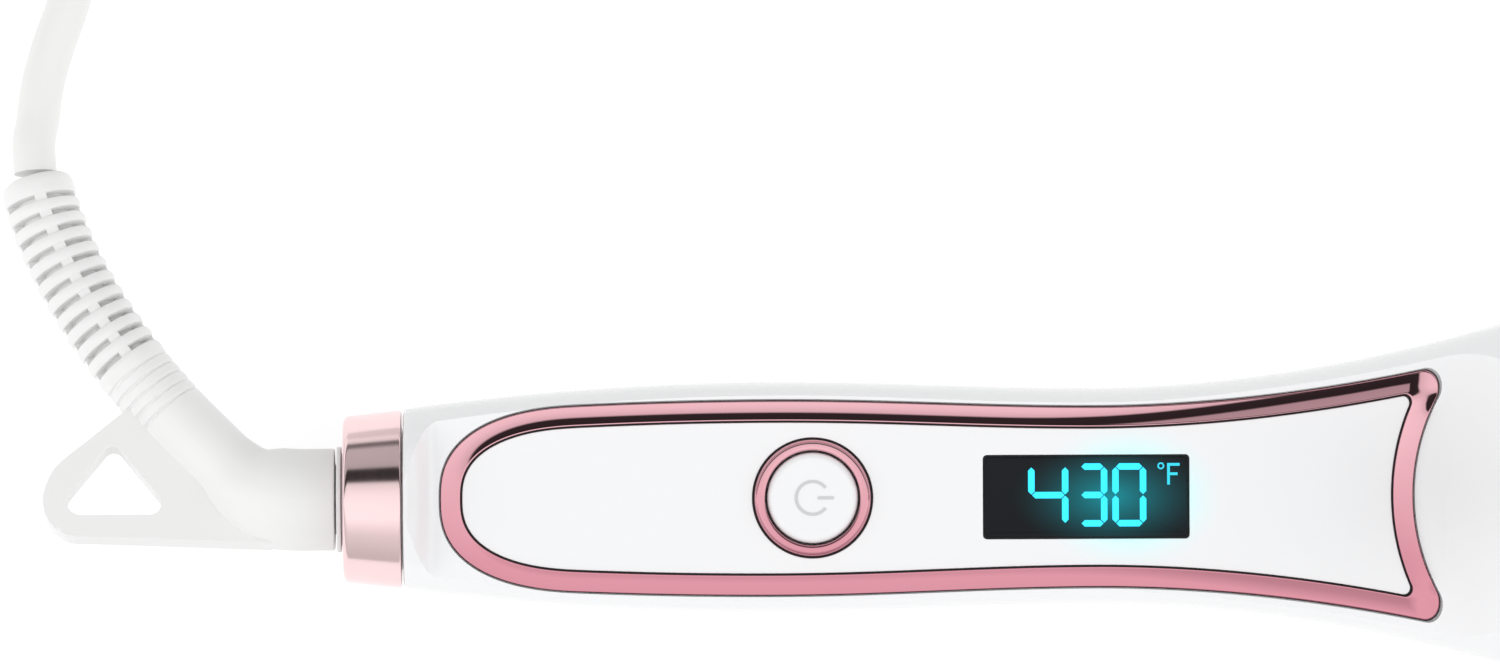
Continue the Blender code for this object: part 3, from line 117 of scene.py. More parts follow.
LEVER_LENGTH = 29.0 * MM
LEVER_RISE = radians(21.6)
STRIP_THICKNESS = 1.2 * MM
STAND_PIN_AT = 181.0 * MM
STAND_LENGTH = 29.5 * MM
STAND_WIDTH = 18.0 * MM
STAND_THICKNESS = 2.2 * MM
STAND_KNUCKLE = 1.6 * MM
BAY_CLEARANCE = 1.2 * MM
BAY_WALL = 1.8 * MM
CASE_POST_RADIUS = 3.4 * MM
CASE_HOLE_RADIUS = 1.5 * MM
CASE_WELL_RADIUS = 2.5 * MM
CASE_SEAT_HEIGHT = -7.0 * MM
SHIELD_NECK = 9.5 * MM
BULKHEAD = 178.3 * MM, 181.0 * MM
CORD_DIAMETER = 6.2 * MM
CORD_RADIUS = CORD_DIAMETER / 2
CORD_REST = CORD_RADIUS + 0.05 * MM - GRIP_DEPTH
COIL_X = 11.2 * MM
COIL_Y = 124.0 * MM
COIL_MIDDLE_RADIUS = 35.0 * MM
COIL_PITCH = 6.4 * MM
COIL_LAYER_PITCH = 6.25 * MM
COIL_BASE = 1.2 * MM
PLUG_HEIGHT = 7.4 * MM


# ---------------------------------------------------------------- camera, light and floor

def make_camera():
    """Straight above the grip, far away behind a long lens, with the cord end on the left."""
    view_width = 216.3 * MM
    distance = 3.0
    lens = bpy.data.cameras.new("camera")
    lens.sensor_width = 36.0
    lens.lens = lens.sensor_width * distance / view_width
    lens.clip_end = 20.0
    camera = bpy.data.objects.new("camera", lens)
    bpy.context.collection.objects.link(camera)
    camera.location = AXIS + Vector((58.7 * MM, 23.9 * MM, distance))
    camera.rotation_euler = (0.0, 0.0, radians(-0.25))
    bpy.context.scene.camera = camera


def area_light(name, place, target, size, power):
    data = bpy.data.lights.new(name, "AREA")
    data.shape = "RECTANGLE"
    data.size, data.size_y = size
    data.energy = power
    light = bpy.data.objects.new(name, data)
    bpy.context.collection.objects.link(light)
    light.location = AXIS + Vector(place)
    light.rotation_euler = (Vector(target) - Vector(place)).to_track_quat("-Z", "Y").to_euler()
    light.visible_glossy = False


def make_light():
    """A pale room whose brightness changes across the iron, so that round metal shows its bands."""
    world = bpy.data.worlds.new("studio")
    bpy.context.scene.world = world
    world.use_nodes = True
    nodes, links = world.node_tree.nodes, world.node_tree.links
    place = nodes.new("ShaderNodeTexCoord")
    split = nodes.new("ShaderNodeSeparateXYZ")
    turn = nodes.new("ShaderNodeMath")
    turn.operation = "ARCTAN2"
    links.new(place.outputs["Generated"], split.inputs[0])
    links.new(split.outputs["Y"], turn.inputs[0])
    links.new(split.outputs["Z"], turn.inputs[1])
    share = nodes.new("ShaderNodeMapRange")
    put(share, From_Min=-pi, From_Max=pi)
    links.new(turn.outputs[0], share.inputs["Value"])
    ramp = nodes.new("ShaderNodeValToRGB")
    ramp.color_ramp.interpolation = "LINEAR"
    stops = [(-180, 0.9), (-130, 0.75), (-100, 0.8), (-75, 0.95), (-50, 1.15), (-26, 1.65), (-5, 1.6),
            (8, 1.5)]
    stops += [(22, 1.2), (25, 0.05), (42, 0.04), (45, 0.7), (74, 0.78), (78, 0.2), (83, 0.2), (86, 1.25),
            (180, 0.9)]
    elements = ramp.color_ramp.elements
    for i, (degrees, level) in enumerate(stops):
        position = (degrees + 180) / 360
        slot = elements[i] if i < 2 else elements.new(position)
        slot.position = position
        slot.color = (level, level, level, 1.0)
    links.new(share.outputs[0], ramp.inputs[0])
    background = nodes["Background"]
    put(background, Strength=0.715)
    links.new(ramp.outputs[0], background.inputs["Color"])
    area_light("key", (0.05, -0.25, 0.9), (0.05, 0.02, 0.0), (1.2, 0.5), 0.2)
    area_light("fill", (0.05, 0.9, 0.8), (0.05, 0.0, 0.0), (1.2, 0.4), 1.5)
    area_light("fill_tail", (-0.95, 0.0, 0.55), (0.0, 0.0, 0.0), (0.6, 0.8), 3.2)
    area_light("fill_front", (0.95, 0.0, 0.45), (0.0, 0.0, 0.0), (0.6, 0.8), 2.6)


def make_floor():
    bpy.ops.mesh.primitive_plane_add(size=6.0, location=(0.0, 0.0, -0.0004))
    floor = bpy.context.active_object
    floor.name = "floor"
    coat = bpy.data.materials.new("floor_white")
    coat.use_nodes = True
    shader = coat.node_tree.nodes["Principled BSDF"]
    put(shader, Base_Color=(0.3, 0.3, 0.3, 1.0), Roughness=0.9, Specular_IOR_Level=0.0)
    put(shader, Emission_Color=(1.0, 1.0, 1.0, 1.0), Emission_Strength=0.78)
    floor.data.materials.append(coat)


# ---------------------------------------------------------------- materials

def put(node, **values):
    """Sets a node's own sockets, named with an underscore where the socket's name has a space."""
    for name, value in values.items():
        node.inputs[name.replace("_", " ")].default_value = value


class Coat:
    """A Principled material under construction, with helpers that add procedural detail."""

    def __init__(self, name, colour, roughness, metallic=0.0, coat=0.0):
        self.made = bpy.data.materials.new(name)
        self.made.use_nodes = True
        self.nodes = self.made.node_tree.nodes
        self.links = self.made.node_tree.links
        self.shader = self.nodes["Principled BSDF"]
        self.colour = colour
        self.roughness = roughness
        put(self.shader, Base_Color=(*colour, 1.0), Roughness=roughness, Metallic=metallic)
        put(self.shader, Coat_Weight=coat, Coat_Roughness=0.08)

    def noise(self, scale, detail=3.0, stretch=(1.0, 1.0, 1.0)):
        place = self.nodes.new("ShaderNodeTexCoord")
        mapping = self.nodes.new("ShaderNodeMapping")
        put(mapping, Scale=stretch)
        texture = self.nodes.new("ShaderNodeTexNoise")
        put(texture, Scale=scale, Detail=detail)
        self.links.new(place.outputs["Object"], mapping.inputs["Vector"])
        self.links.new(mapping.outputs[0], texture.inputs["Vector"])
        return texture.outputs["Fac"]

    def vary_colour(self, source, spread):
        ramp = self.nodes.new("ShaderNodeValToRGB")
        for slot, share in zip(ramp.color_ramp.elements, (1.0 - spread, 1.0 + spread)):
            slot.color = (*(min(1.0, part * share) for part in self.colour), 1.0)
        ramp.color_ramp.elements[0].position = 0.3
        ramp.color_ramp.elements[1].position = 0.7
        self.links.new(source, ramp.inputs[0])
        self.links.new(ramp.outputs[0], self.shader.inputs["Base Color"])

    def vary_roughness(self, source, spread):
        span = self.nodes.new("ShaderNodeMapRange")
        put(span, To_Min=max(0.02, self.roughness - spread), To_Max=self.roughness + spread)
        self.links.new(source, span.inputs["Value"])
        self.links.new(span.outputs[0], self.shader.inputs["Roughness"])

    def bump(self, source, strength, distance):
        node = self.nodes.new("ShaderNodeBump")
        put(node, Strength=strength, Distance=distance)
        self.links.new(source, node.inputs["Height"])
        self.links.new(node.outputs[0], self.shader.inputs["Normal"])


def moulded(name, colour, roughness, coat=0.0, grain=2600.0, depth=0.02 * MM, spread=0.02):
    """Moulded plastic: a hint of flow in its colour, uneven gloss and a fine spark-eroded grain."""
    made = Coat(name, colour, roughness, coat=coat)
    made.vary_colour(made.noise(28.0, 2.0, (0.5, 1.0, 1.0)), spread)
    made.vary_roughness(made.noise(140.0, 4.0), 0.05)
    made.bump(made.noise(grain, 3.0), 0.25, depth)
    return made.made


def brushed(name, colour, roughness, along=(0.05, 1.0, 1.0), depth=0.01 * MM, spread=0.06, uneven=0.06):
    """Brushed plating: long fine scratches along one direction and soft smudges."""
    made = Coat(name, colour, roughness, metallic=1.0)
    made.vary_colour(made.noise(60.0, 3.0), spread)
    made.vary_roughness(made.noise(2200.0, 4.0, along), uneven)
    made.bump(made.noise(3200.0, 4.0, along), 0.35, depth)
    return made.made


def polished_trim():
    """Mirror plating with painted shade: its base colour is darker and deeper pink on its -Y side, standing
    for the dimmer light that side reflects, with faint polishing marks.
    """
    made = Coat("rose_gold_trim", (0.76, 0.42, 0.47), 0.045, metallic=1.0)
    place = made.nodes.new("ShaderNodeTexCoord")
    split = made.nodes.new("ShaderNodeSeparateXYZ")
    made.links.new(place.outputs["Object"], split.inputs[0])
    span = made.nodes.new("ShaderNodeMapRange")
    put(span, From_Min=-9 * MM, From_Max=9 * MM)
    made.links.new(split.outputs["Y"], span.inputs["Value"])
    # Painted shade: the base colour fades from bright pink on the +Y side to darker, deeper pink on the -Y
    # side.
    painted_light_mix = made.nodes.new("ShaderNodeMix")
    painted_light_mix.data_type = "RGBA"
    put(painted_light_mix, A=(0.64, 0.27, 0.33, 1.0), B=(0.80, 0.45, 0.50, 1.0))
    made.links.new(span.outputs[0], painted_light_mix.inputs["Factor"])
    made.links.new(painted_light_mix.outputs["Result"], made.shader.inputs["Base Color"])
    made.vary_roughness(made.noise(400.0, 3.0), 0.02)
    made.bump(made.noise(1800.0, 2.0), 0.15, 0.0008 * MM)
    return made.made


def glow_shares(made, centre, reach_x, reach_y):
    """A soft spot of light round a place in iron coordinates, fading with distance."""
    place = made.nodes.new("ShaderNodeTexCoord")
    mapping = made.nodes.new("ShaderNodeMapping")
    mapping.vector_type = "TEXTURE"
    put(mapping, Location=AXIS + Vector(centre), Scale=(reach_x, reach_y, 1.0))
    spot = made.nodes.new("ShaderNodeTexGradient")
    spot.gradient_type = "QUADRATIC_SPHERE"
    made.links.new(place.outputs["Object"], mapping.inputs["Vector"])
    made.links.new(mapping.outputs[0], spot.inputs["Vector"])
    return spot.outputs["Fac"]


def make_materials():
    white = moulded("white_gloss", (0.86, 0.865, 0.875), 0.16, coat=0.5, grain=1500.0, depth=0.004 * MM,
            spread=0.008)
    soft = moulded("soft_white", (0.825, 0.825, 0.82), 0.42, grain=2400.0, depth=0.03 * MM, spread=0.015)
    cord = moulded("cord_white", (0.805, 0.805, 0.795), 0.45, grain=1800.0, depth=0.03 * MM, spread=0.02)
    panel = Coat("panel_white", (0.86, 0.865, 0.875), 0.18, coat=0.5)
    panel.vary_roughness(panel.noise(140.0, 4.0), 0.04)
    # Painted glow: round the display window the white panel gets teal emission and a teal-tinted base
    # colour, a painted pool of the display's light.
    share = glow_shares(panel, (DISPLAY_AT + 6 * MM, 0.0, FACE_HEIGHT), 15 * MM, 11.5 * MM)
    boost = panel.nodes.new("ShaderNodeMath")
    boost.operation = "MULTIPLY"
    boost.inputs[1].default_value = 1.6
    panel.links.new(share, boost.inputs[0])
    put(panel.shader, Emission_Color=(0.05, 0.62, 0.66, 1.0))
    panel.links.new(boost.outputs[0], panel.shader.inputs["Emission Strength"])
    painted_light_mix = panel.nodes.new("ShaderNodeMix")
    painted_light_mix.data_type = "RGBA"
    put(painted_light_mix, A=(0.86, 0.865, 0.875, 1.0), B=(0.25, 0.62, 0.64, 1.0))
    panel.links.new(boost.outputs[0], painted_light_mix.inputs["Factor"])
    panel.links.new(painted_light_mix.outputs["Result"], panel.shader.inputs["Base Color"])
    glass = Coat("display_lens", (0.004, 0.006, 0.008), 0.16)
    put(glass.shader, Specular_IOR_Level=0.15, Emission_Color=(0.0, 0.26, 0.31, 1.0))
    glass.vary_roughness(glass.noise(300.0, 3.0), 0.03)
    share = glow_shares(glass, (DISPLAY_AT + 3.5 * MM, 0.0, FACE_HEIGHT), 15 * MM, 8.5 * MM)
    glass.links.new(share, glass.shader.inputs["Emission Strength"])
    digit = Coat("digit_cyan", (0.02, 0.5, 0.62), 0.5)
    put(digit.shader, Emission_Color=(0.01, 0.46, 0.74, 1.0), Emission_Strength=1.15)
    digit.vary_roughness(digit.noise(900.0, 2.0), 0.1)
    unit = Coat("unit_teal", (0.02, 0.4, 0.5), 0.5)
    put(unit.shader, Emission_Color=(0.01, 0.42, 0.55, 1.0), Emission_Strength=0.9)
    unit.vary_roughness(unit.noise(900.0, 2.0), 0.1)
    return {
        "white": white,
        "soft": soft,
        "cord": cord,
        "panel": panel.made,
        "glass": glass.made,
        "digit": digit.made,
        "unit": unit.made,
        "mark": moulded("grey_print", (0.60, 0.61, 0.62), 0.4),
        "bush": moulded("grey_plastic", (0.825, 0.825, 0.825), 0.35),
        "strap": moulded("strap_weave", (0.035, 0.035, 0.04), 0.75, grain=900.0, depth=0.12 * MM,
                spread=0.3),
        "black": moulded("black_plastic", (0.022, 0.022, 0.025), 0.42, depth=0.05 * MM, spread=0.15),
        "rose": brushed("rose_gold_brushed", (0.90, 0.68, 0.69), 0.13, (1.0, 0.06, 0.06), 0.006 * MM, 0.03,
                0.03),
        "rose_trim": polished_trim(),
        "barrel": brushed("barrel_rose", (0.78, 0.56, 0.52), 0.24, (1.0, 0.05, 0.05), 0.004 * MM, 0.03,
                0.04),
        "steel": brushed("steel", (0.60, 0.60, 0.62), 0.3),
        "aluminium": brushed("aluminium", (0.75, 0.76, 0.78), 0.4),
        "brass": brushed("brass", (0.76, 0.57, 0.25), 0.32),
        "ceramic": moulded("ceramic", (0.82, 0.81, 0.77), 0.6),
        "board": moulded("circuit_board", (0.03, 0.22, 0.10), 0.4, coat=0.3, grain=700.0, depth=0.06 * MM,
                spread=0.2),
        "wire_red": moulded("wire_red", (0.50, 0.04, 0.03), 0.5),
        "wire_white": moulded("wire_white", (0.78, 0.78, 0.76), 0.5),
    }


# ---------------------------------------------------------------- shape helpers

def around(count):
    """That many even turns round a circle, in radians."""
    return [2 * pi * i / count for i in range(count)]


def smooth_step(value):
    value = min(1.0, max(0.0, value))
    return value * value * (3.0 - 2.0 * value)


def add_piece(name, shape, coat, body, replaced=(), place=None, sharp=35):
    """Turns a bmesh in iron coordinates, or in a local frame when place is given, into a riding piece."""
    bmesh.ops.remove_doubles(shape, verts=shape.verts, dist=0.0005 * MM)
    bmesh.ops.recalc_face_normals(shape, faces=shape.faces)
    shape.transform(Matrix.Translation(AXIS) @ (place or Matrix.Identity(4)))
    mesh = bpy.data.meshes.new(name)
    shape.to_mesh(mesh)
    shape.free()
    mesh.shade_smooth()
    mesh.set_sharp_from_angle(angle=radians(sharp))
    made = bpy.data.objects.new(name, mesh)
    bpy.context.collection.objects.link(made)
    if coat is None:
        made.hide_render = True
        made.display_type = "WIRE"
        return made
    mesh.materials.append(coat)
    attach(made, body)
    if replaced:
        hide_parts(*replaced)
    return made


def cut(piece, shapes, place=None, operation="DIFFERENCE"):
    """Cuts or joins each bmesh into the piece's own mesh, so that no helper stays in the scene."""
    for shape in shapes:
        helper = add_piece("helper", shape, None, None, place=place)
        modifier = piece.modifiers.new("Cut", "BOOLEAN")
        modifier.operation = operation
        modifier.object = helper
        bpy.context.view_layer.update()
        graph = bpy.context.evaluated_depsgraph_get()
        mesh = bpy.data.meshes.new_from_object(piece.evaluated_get(graph))
        piece.modifiers.clear()
        piece.data = mesh
        bpy.data.objects.remove(helper)
    piece.data.shade_smooth()
    piece.data.set_sharp_from_angle(angle=radians(35))


def soften(piece, width, segments=2, angle=40):
    bevel = piece.modifiers.new("Soften", "BEVEL")
    bevel.width = width
    bevel.segments = segments
    bevel.limit_method = "ANGLE"
    bevel.angle_limit = radians(angle)
    bevel.harden_normals = True
    return piece


def loft(shape, rings, capped=True, closed=False):
    made = [[shape.verts.new(point) for point in ring] for ring in rings]
    count = len(made[0])
    pairs = list(zip(made, made[1:])) + ([(made[-1], made[0])] if closed else [])
    for low, high in pairs:
        for i in range(count):
            j = (i + 1) % count
            shape.faces.new((low[i], low[j], high[j], high[i]))
    if capped and not closed:
        shape.faces.new(made[0])
        shape.faces.new(made[-1])
    return made


def lofted(rings, closed=False):
    shape = bmesh.new()
    loft(shape, rings, closed=closed)
    return shape


def prism(outline, axis, low, high):
    places = {"X": lambda a, b, c: (c, a, b), "Y": lambda a, b, c: (a, c, b), "Z": lambda a, b, c: (a, b, c)}
    return lofted([[places[axis](a, b, end) for a, b in outline] for end in (low, high)])


def box_outline(a_low, a_high, b_low, b_high):
    return [(a_low, b_low), (a_high, b_low), (a_high, b_high), (a_low, b_high)]


def rounded_outline(a_low, a_high, b_low, b_high, radius, steps=6):
    corners = [(a_high - radius, b_high - radius, 0), (a_low + radius, b_high - radius, 90)]
    corners += [(a_low + radius, b_low + radius, 180), (a_high - radius, b_low + radius, 270)]
    points = []
    for a, b, start in corners:
        for step in range(steps + 1):
            angle = radians(start + 90 * step / steps)
            points.append((a + radius * cos(angle), b + radius * sin(angle)))
    return points


def disc(axis, a, b, radius, low, high, sides=48):
    turns = around(sides)
    return prism([(a + radius * cos(turn), b + radius * sin(turn))
            for turn in turns], axis, low, high)


def turned(profile, closed, sides=96, centre=(0.0, 0.0), axis="X"):
    shape = bmesh.new()
    rings = []
    for along, radius in profile:
        ring = []
        for i in range(sides):
            angle = 2 * pi * i / sides
            a, b = centre[0] + radius * cos(angle), centre[1] + radius * sin(angle)
            ring.append({"X": (along, a, b), "Y": (a, along, b), "Z": (a, b, along)}[axis])
        rings.append(ring)
    loft(shape, rings, capped=not closed, closed=closed)
    return shape


def rounded_profile(points, radius, steps=4):
    """Rounds each inner corner of an open list of (along, radius) points."""
    made = [points[0]]
    for before, here, after in zip(points, points[1:], points[2:]):
        here, before, after = Vector(here), Vector(before), Vector(after)
        reach = min(radius, (before - here).length * 0.45, (after - here).length * 0.45)
        start = here + (before - here).normalized() * reach
        end = here + (after - here).normalized() * reach
        for step in range(steps + 1):
            t = step / steps
            made.append(tuple(start * (1 - t) ** 2 + here * 2 * t * (1 - t) + end * t * t))
    return made + [points[-1]]


def ring_profile(points, radius, steps=4):
    """Rounds every corner of a closed list of points."""
    middle = ((points[0][0] + points[-1][0]) / 2, (points[0][1] + points[-1][1]) / 2)
    return rounded_profile([middle] + points + [middle], radius, steps)[:-1]


def smooth_curve(points, spacing):
    knots = [Vector(point) for point in points]
    knots = [2 * knots[0] - knots[1]] + knots + [2 * knots[-1] - knots[-2]]
    route = [knots[1]]
    for a, b, c, d in zip(knots, knots[1:], knots[2:], knots[3:]):
        steps = max(1, round((c - b).length / spacing))
        for step in range(1, steps + 1):
            t = step / steps
            bend = (2 * a - 5 * b + 4 * c - d) * t * t + (3 * b - a - 3 * c + d) * t ** 3
            route.append((2 * b + (c - a) * t + bend) / 2)
    return route


# ---------------------------------------------------------------- handle surface

def tail_share(x):
    """1 at the tail end of the handle, falling to 0 at the belly."""
    return max(0.0, (BELLY_AT - x) / (BELLY_AT - COLLAR_LENGTH - GAP)) ** 2


def half_width(x):
    belly, waist = BELLY_WIDTH / 2, WAIST_WIDTH / 2
    if x < BELLY_AT:
        return belly - (belly - TAIL_WIDTH / 2) * tail_share(x)
    if x < WAIST_AT:
        turn = pi * (x - BELLY_AT) / (WAIST_AT - BELLY_AT)
        return (belly + waist) / 2 + (belly - waist) / 2 * cos(turn)
    return waist + (GUARD_WIDTH / 2 - waist) * ((x - WAIST_AT) / (HANDLE_END - WAIST_AT)) ** FLARE_POWER


def depth_at(x, side):
    if side > 0:
        return min(half_width(x), GUARD_DEPTH)
    bulge = 1.0 + LOWER_BULGE * smooth_step((x - COLLAR_LENGTH) / (BELLY_AT - COLLAR_LENGTH))
    return min(half_width(x) * bulge, GUARD_DEPTH * (1.0 + LOWER_BULGE))


def face_height(x):
    """Height of the flat display face, which rises to a round section at both ends."""
    free = 0.985 * depth_at(x, 1)
    tail = 1.0 - smooth_step((x - COLLAR_LENGTH) / (FACE_START - COLLAR_LENGTH))
    front = smooth_step((x - FACE_RISE_AT) / (FACE_RISE_END - FACE_RISE_AT))
    return min(free, FACE_HEIGHT + (free - FACE_HEIGHT) * max(tail, front))


def section(width, depth, level, x, side, steps=14):
    """Half a cross-section from +Y over the crown to -Y: round flanks and a flat at the given level."""
    flank = asin(min(0.999, (level - SEAM) / (depth - SEAM)))
    turns = [flank * i / steps for i in range(steps + 1)]
    right = [(width * cos(turn), SEAM + (depth - SEAM) * sin(turn)) for turn in turns]
    left = [(-y, z) for y, z in reversed(right)]
    return [(x, y, side * z) for y, z in right + left]


def outer_section(x, side, shrink=0.0):
    depth = depth_at(x, side)
    level = face_height(x) if side > 0 else min(0.985 * depth, GRIP_DEPTH)
    return section(half_width(x) - shrink, depth - shrink, level - shrink, x, side)


def inner_section(x, side):
    depth = depth_at(x, side) - SHELL_WALL
    if side > 0:
        level = face_height(x) - max(SHELL_WALL, FACE_WALL - (face_height(x) - FACE_HEIGHT))
    else:
        level = min(0.985 * depth, GRIP_DEPTH - SHELL_WALL)
    return section(half_width(x) - SHELL_WALL, depth, level, x, side)


def round_section(radius, x, side):
    return section(radius, radius, 0.985 * radius, x, side)


def span(low, high, count):
    return [low + (high - low) * i / count for i in range(count + 1)]


def shell(name, side, coat):
    """One half of the handle: an outer skin, an inner skin, two parting faces and two ends."""
    tail = COLLAR_LENGTH + GAP
    neck = COLLAR_TAIL - COLLAR_WALL - GAP
    bore = BUSH_RADIUS + GAP
    start = COLLAR_WALL + GAP
    outer = [round_section(neck, start, side), round_section(neck, tail - 0.05 * MM, side)]
    outer += [outer_section(tail, side, 0.35 * MM), outer_section(tail + 0.12 * MM, side, 0.1 * MM)]
    outer += [outer_section(x, side) for x in span(tail + 0.4 * MM, FACE_START, 7)]
    outer += [outer_section(x, side) for x in span(FACE_START, FACE_RISE_AT, 60)[1:]]
    outer += [outer_section(x, side) for x in span(FACE_RISE_AT, FACE_RISE_END, 18)[1:]]
    lips = [(1.4, 0.0), (0.9, 0.12), (0.5, 0.3), (0.2, 0.6), (0.0, 0.9)]
    outer += [outer_section(HANDLE_END - back * MM, side, shrink * MM) for back, shrink in lips]
    inner = [round_section(bore, start, side), round_section(bore, NECK_END, side)]
    inner += [inner_section(x, side) for x in span(14 * MM, FACE_RISE_AT, 14)]
    inner += [inner_section(x, side) for x in span(FACE_RISE_AT, HANDLE_END, 5)[1:]]
    shape = bmesh.new()
    skins = [[[shape.verts.new(point) for point in ring] for ring in skin] for skin in (outer, inner)]
    for skin in skins:
        for low, high in zip(skin, skin[1:]):
            for i in range(len(low) - 1):
                shape.faces.new((low[i], low[i + 1], high[i + 1], high[i]))
    for edge in (0, -1):
        shape.faces.new([ring[edge] for ring in skins[0]] + [ring[edge] for ring in reversed(skins[1])])
    for end in (0, -1):
        shape.faces.new(list(skins[0][end]) + list(reversed(skins[1][end])))
    label = "upper_shell" if side > 0 else "lower_shell"
    return add_piece(name, shape, coat, "handle", [label])


def trim_half_width(x):
    margin = TRIM_MARGIN + (TRIM_MARGIN_TAIL - TRIM_MARGIN) * tail_share(x)
    if x > WAIST_AT:
        margin += TRIM_MARGIN_FLARE * (half_width(x) - WAIST_WIDTH / 2)
    return half_width(x) - margin


def trim_side(x, inset):
    """Half width of the trim outline, drawn in by the inset, with its round nose."""
    nose_end = TRIM_START + TRIM_NOSE_LENGTH
    share = min(1.0, max(0.0, (nose_end - x) / (TRIM_NOSE_LENGTH - inset)))
    nose = (1.0 - share ** TRIM_NOSE_POWER) ** (1.0 / TRIM_NOSE_POWER)
    return (trim_half_width(x) - inset) * nose


def trim_front(y, inset):
    """Where the hollow front end lies at a given y."""
    radius = TRIM_END_RADIUS + inset
    return TRIM_END + TRIM_END_RADIUS - sqrt(radius * radius - y * y)


def trim_corner(inset):
    low, high = TRIM_END - inset, TRIM_END + TRIM_END_RADIUS
    for _ in range(40):
        middle = (low + high) / 2
        reach = trim_half_width(middle) - inset
        if reach < TRIM_END_RADIUS + inset and middle > trim_front(reach, inset):
            high = middle
        else:
            low = middle
    return low


def trim_outline(inset, nose_steps=36, side_steps=44, corner_steps=14, front_steps=14):
    """Counter-clockwise outline of the trim, seen from above, starting at its nose."""
    start = TRIM_START + inset
    nose_end = TRIM_START + TRIM_NOSE_LENGTH
    corner_x = trim_corner(inset)
    corner_y = trim_half_width(corner_x) - inset
    cut_back = TRIM_CORNER - 1.2 * inset
    half = []
    for i in range(1, nose_steps + 1):
        turn = pi / 2 * i / nose_steps
        x = nose_end - (nose_end - start) * cos(turn) ** 1.15
        half.append((x, trim_side(x, inset)))
    half += [(x, trim_side(x, inset)) for x in span(nose_end, corner_x - cut_back, side_steps)[1:]]
    before = Vector(half[-1])
    after = Vector((trim_front(corner_y - cut_back, inset), corner_y - cut_back))
    corner = Vector((corner_x, corner_y))
    weight = sin((before - corner).angle(after - corner) / 2)
    for t in span(0.0, 1.0, corner_steps)[1:-1]:
        parts = (1 - t) ** 2, 2 * weight * t * (1 - t), t * t
        half.append(tuple((before * parts[0] + corner * parts[1] + after * parts[2]) / sum(parts)))
    for y in span(corner_y - cut_back, 0.0, front_steps)[:-1]:
        half.append((trim_front(y, inset), y))
    return [(start, 0.0)] + [(x, -y) for x, y in half] + [(TRIM_END - inset, 0.0)] + list(reversed(half))


# ---------------------------------------------------------------- handle pieces

def case_screw_places():
    return [(41.0 * MM, 0.0), (142.0 * MM, 9.0 * MM), (142.0 * MM, -9.0 * MM)]


def skin_inside(x, reach):
    """Height just inside the palm side's outer skin at this reach, where a wall can join it."""
    share = reach / half_width(x)
    return 0.6 * MM - min(GRIP_DEPTH, depth_at(x, -1) * sqrt(1.0 - share * share))


def window_hole(low, high):
    length, width = DISPLAY_LENGTH / 2 - DISPLAY_LEDGE, DISPLAY_WIDTH / 2 - DISPLAY_LEDGE
    return prism(box_outline(DISPLAY_AT - length, DISPLAY_AT + length, -width, width), "Z", low, high)


def make_shells(coats):
    upper = shell("upper_shell_skin", 1, coats["white"])
    lower = shell("lower_shell_skin", -1, coats["white"])
    neck = SHIELD_NECK + GAP
    for target, side in ((upper, 1), (lower, -1)):
        rings = []
        for x in BULKHEAD:
            rim = outer_section(x, side, SHELL_WALL / 2)
            turns = [pi * i / (len(rim) - 1) for i in range(len(rim))]
            rings.append(rim + [(x, neck * cos(t), side * max(SEAM, neck * sin(t)))
                    for t in reversed(turns)])
        cut(target, [lofted(rings)], operation="UNION")
    half = STAND_WIDTH / 2 + GAP
    bay_start = STAND_PIN_AT - STAND_LENGTH - BAY_CLEARANCE
    roof = -GRIP_DEPTH + GAP + STAND_THICKNESS + BAY_CLEARANCE
    wide = half + BAY_WALL
    rings = []
    for x in span(bay_start - BAY_WALL, HANDLE_END - 0.4 * MM, 12):
        rings.append([(x, y, z) for y, z in box_outline(-wide, wide, skin_inside(x, wide), roof + 1.2 * MM)])
    cut(lower, [lofted(rings)], operation="UNION")
    wells = [disc("Z", x, y, CASE_POST_RADIUS, skin_inside(x, abs(y) + CASE_POST_RADIUS), -SEAM)
            for x, y in case_screw_places()]
    cut(lower, wells, operation="UNION")
    holes = [disc("Z", x, y, CASE_HOLE_RADIUS, -9 * MM, MM) for x, y in case_screw_places()]
    holes += [disc("Z", x, y, CASE_WELL_RADIUS, -GRIP_DEPTH - MM, CASE_SEAT_HEIGHT)
            for x, y in case_screw_places()]
    holes.append(prism(rounded_outline(bay_start, STAND_PIN_AT + 2.2 * MM, -half, half, 1.0 * MM), "Z",
                       -GRIP_DEPTH - MM, roof))
    cut(lower, holes)
    cuts = [prism(trim_outline(-GAP), "Z", FACE_HEIGHT - SEAT_DEPTH, FACE_HEIGHT + 3 * MM)]
    cuts.append(disc("Z", BUTTON_AT, 0.0, BUTTON_RADIUS + GAP, 0.0, FACE_HEIGHT, 96))
    cuts.append(window_hole(0.0, FACE_HEIGHT))
    cut(upper, cuts)


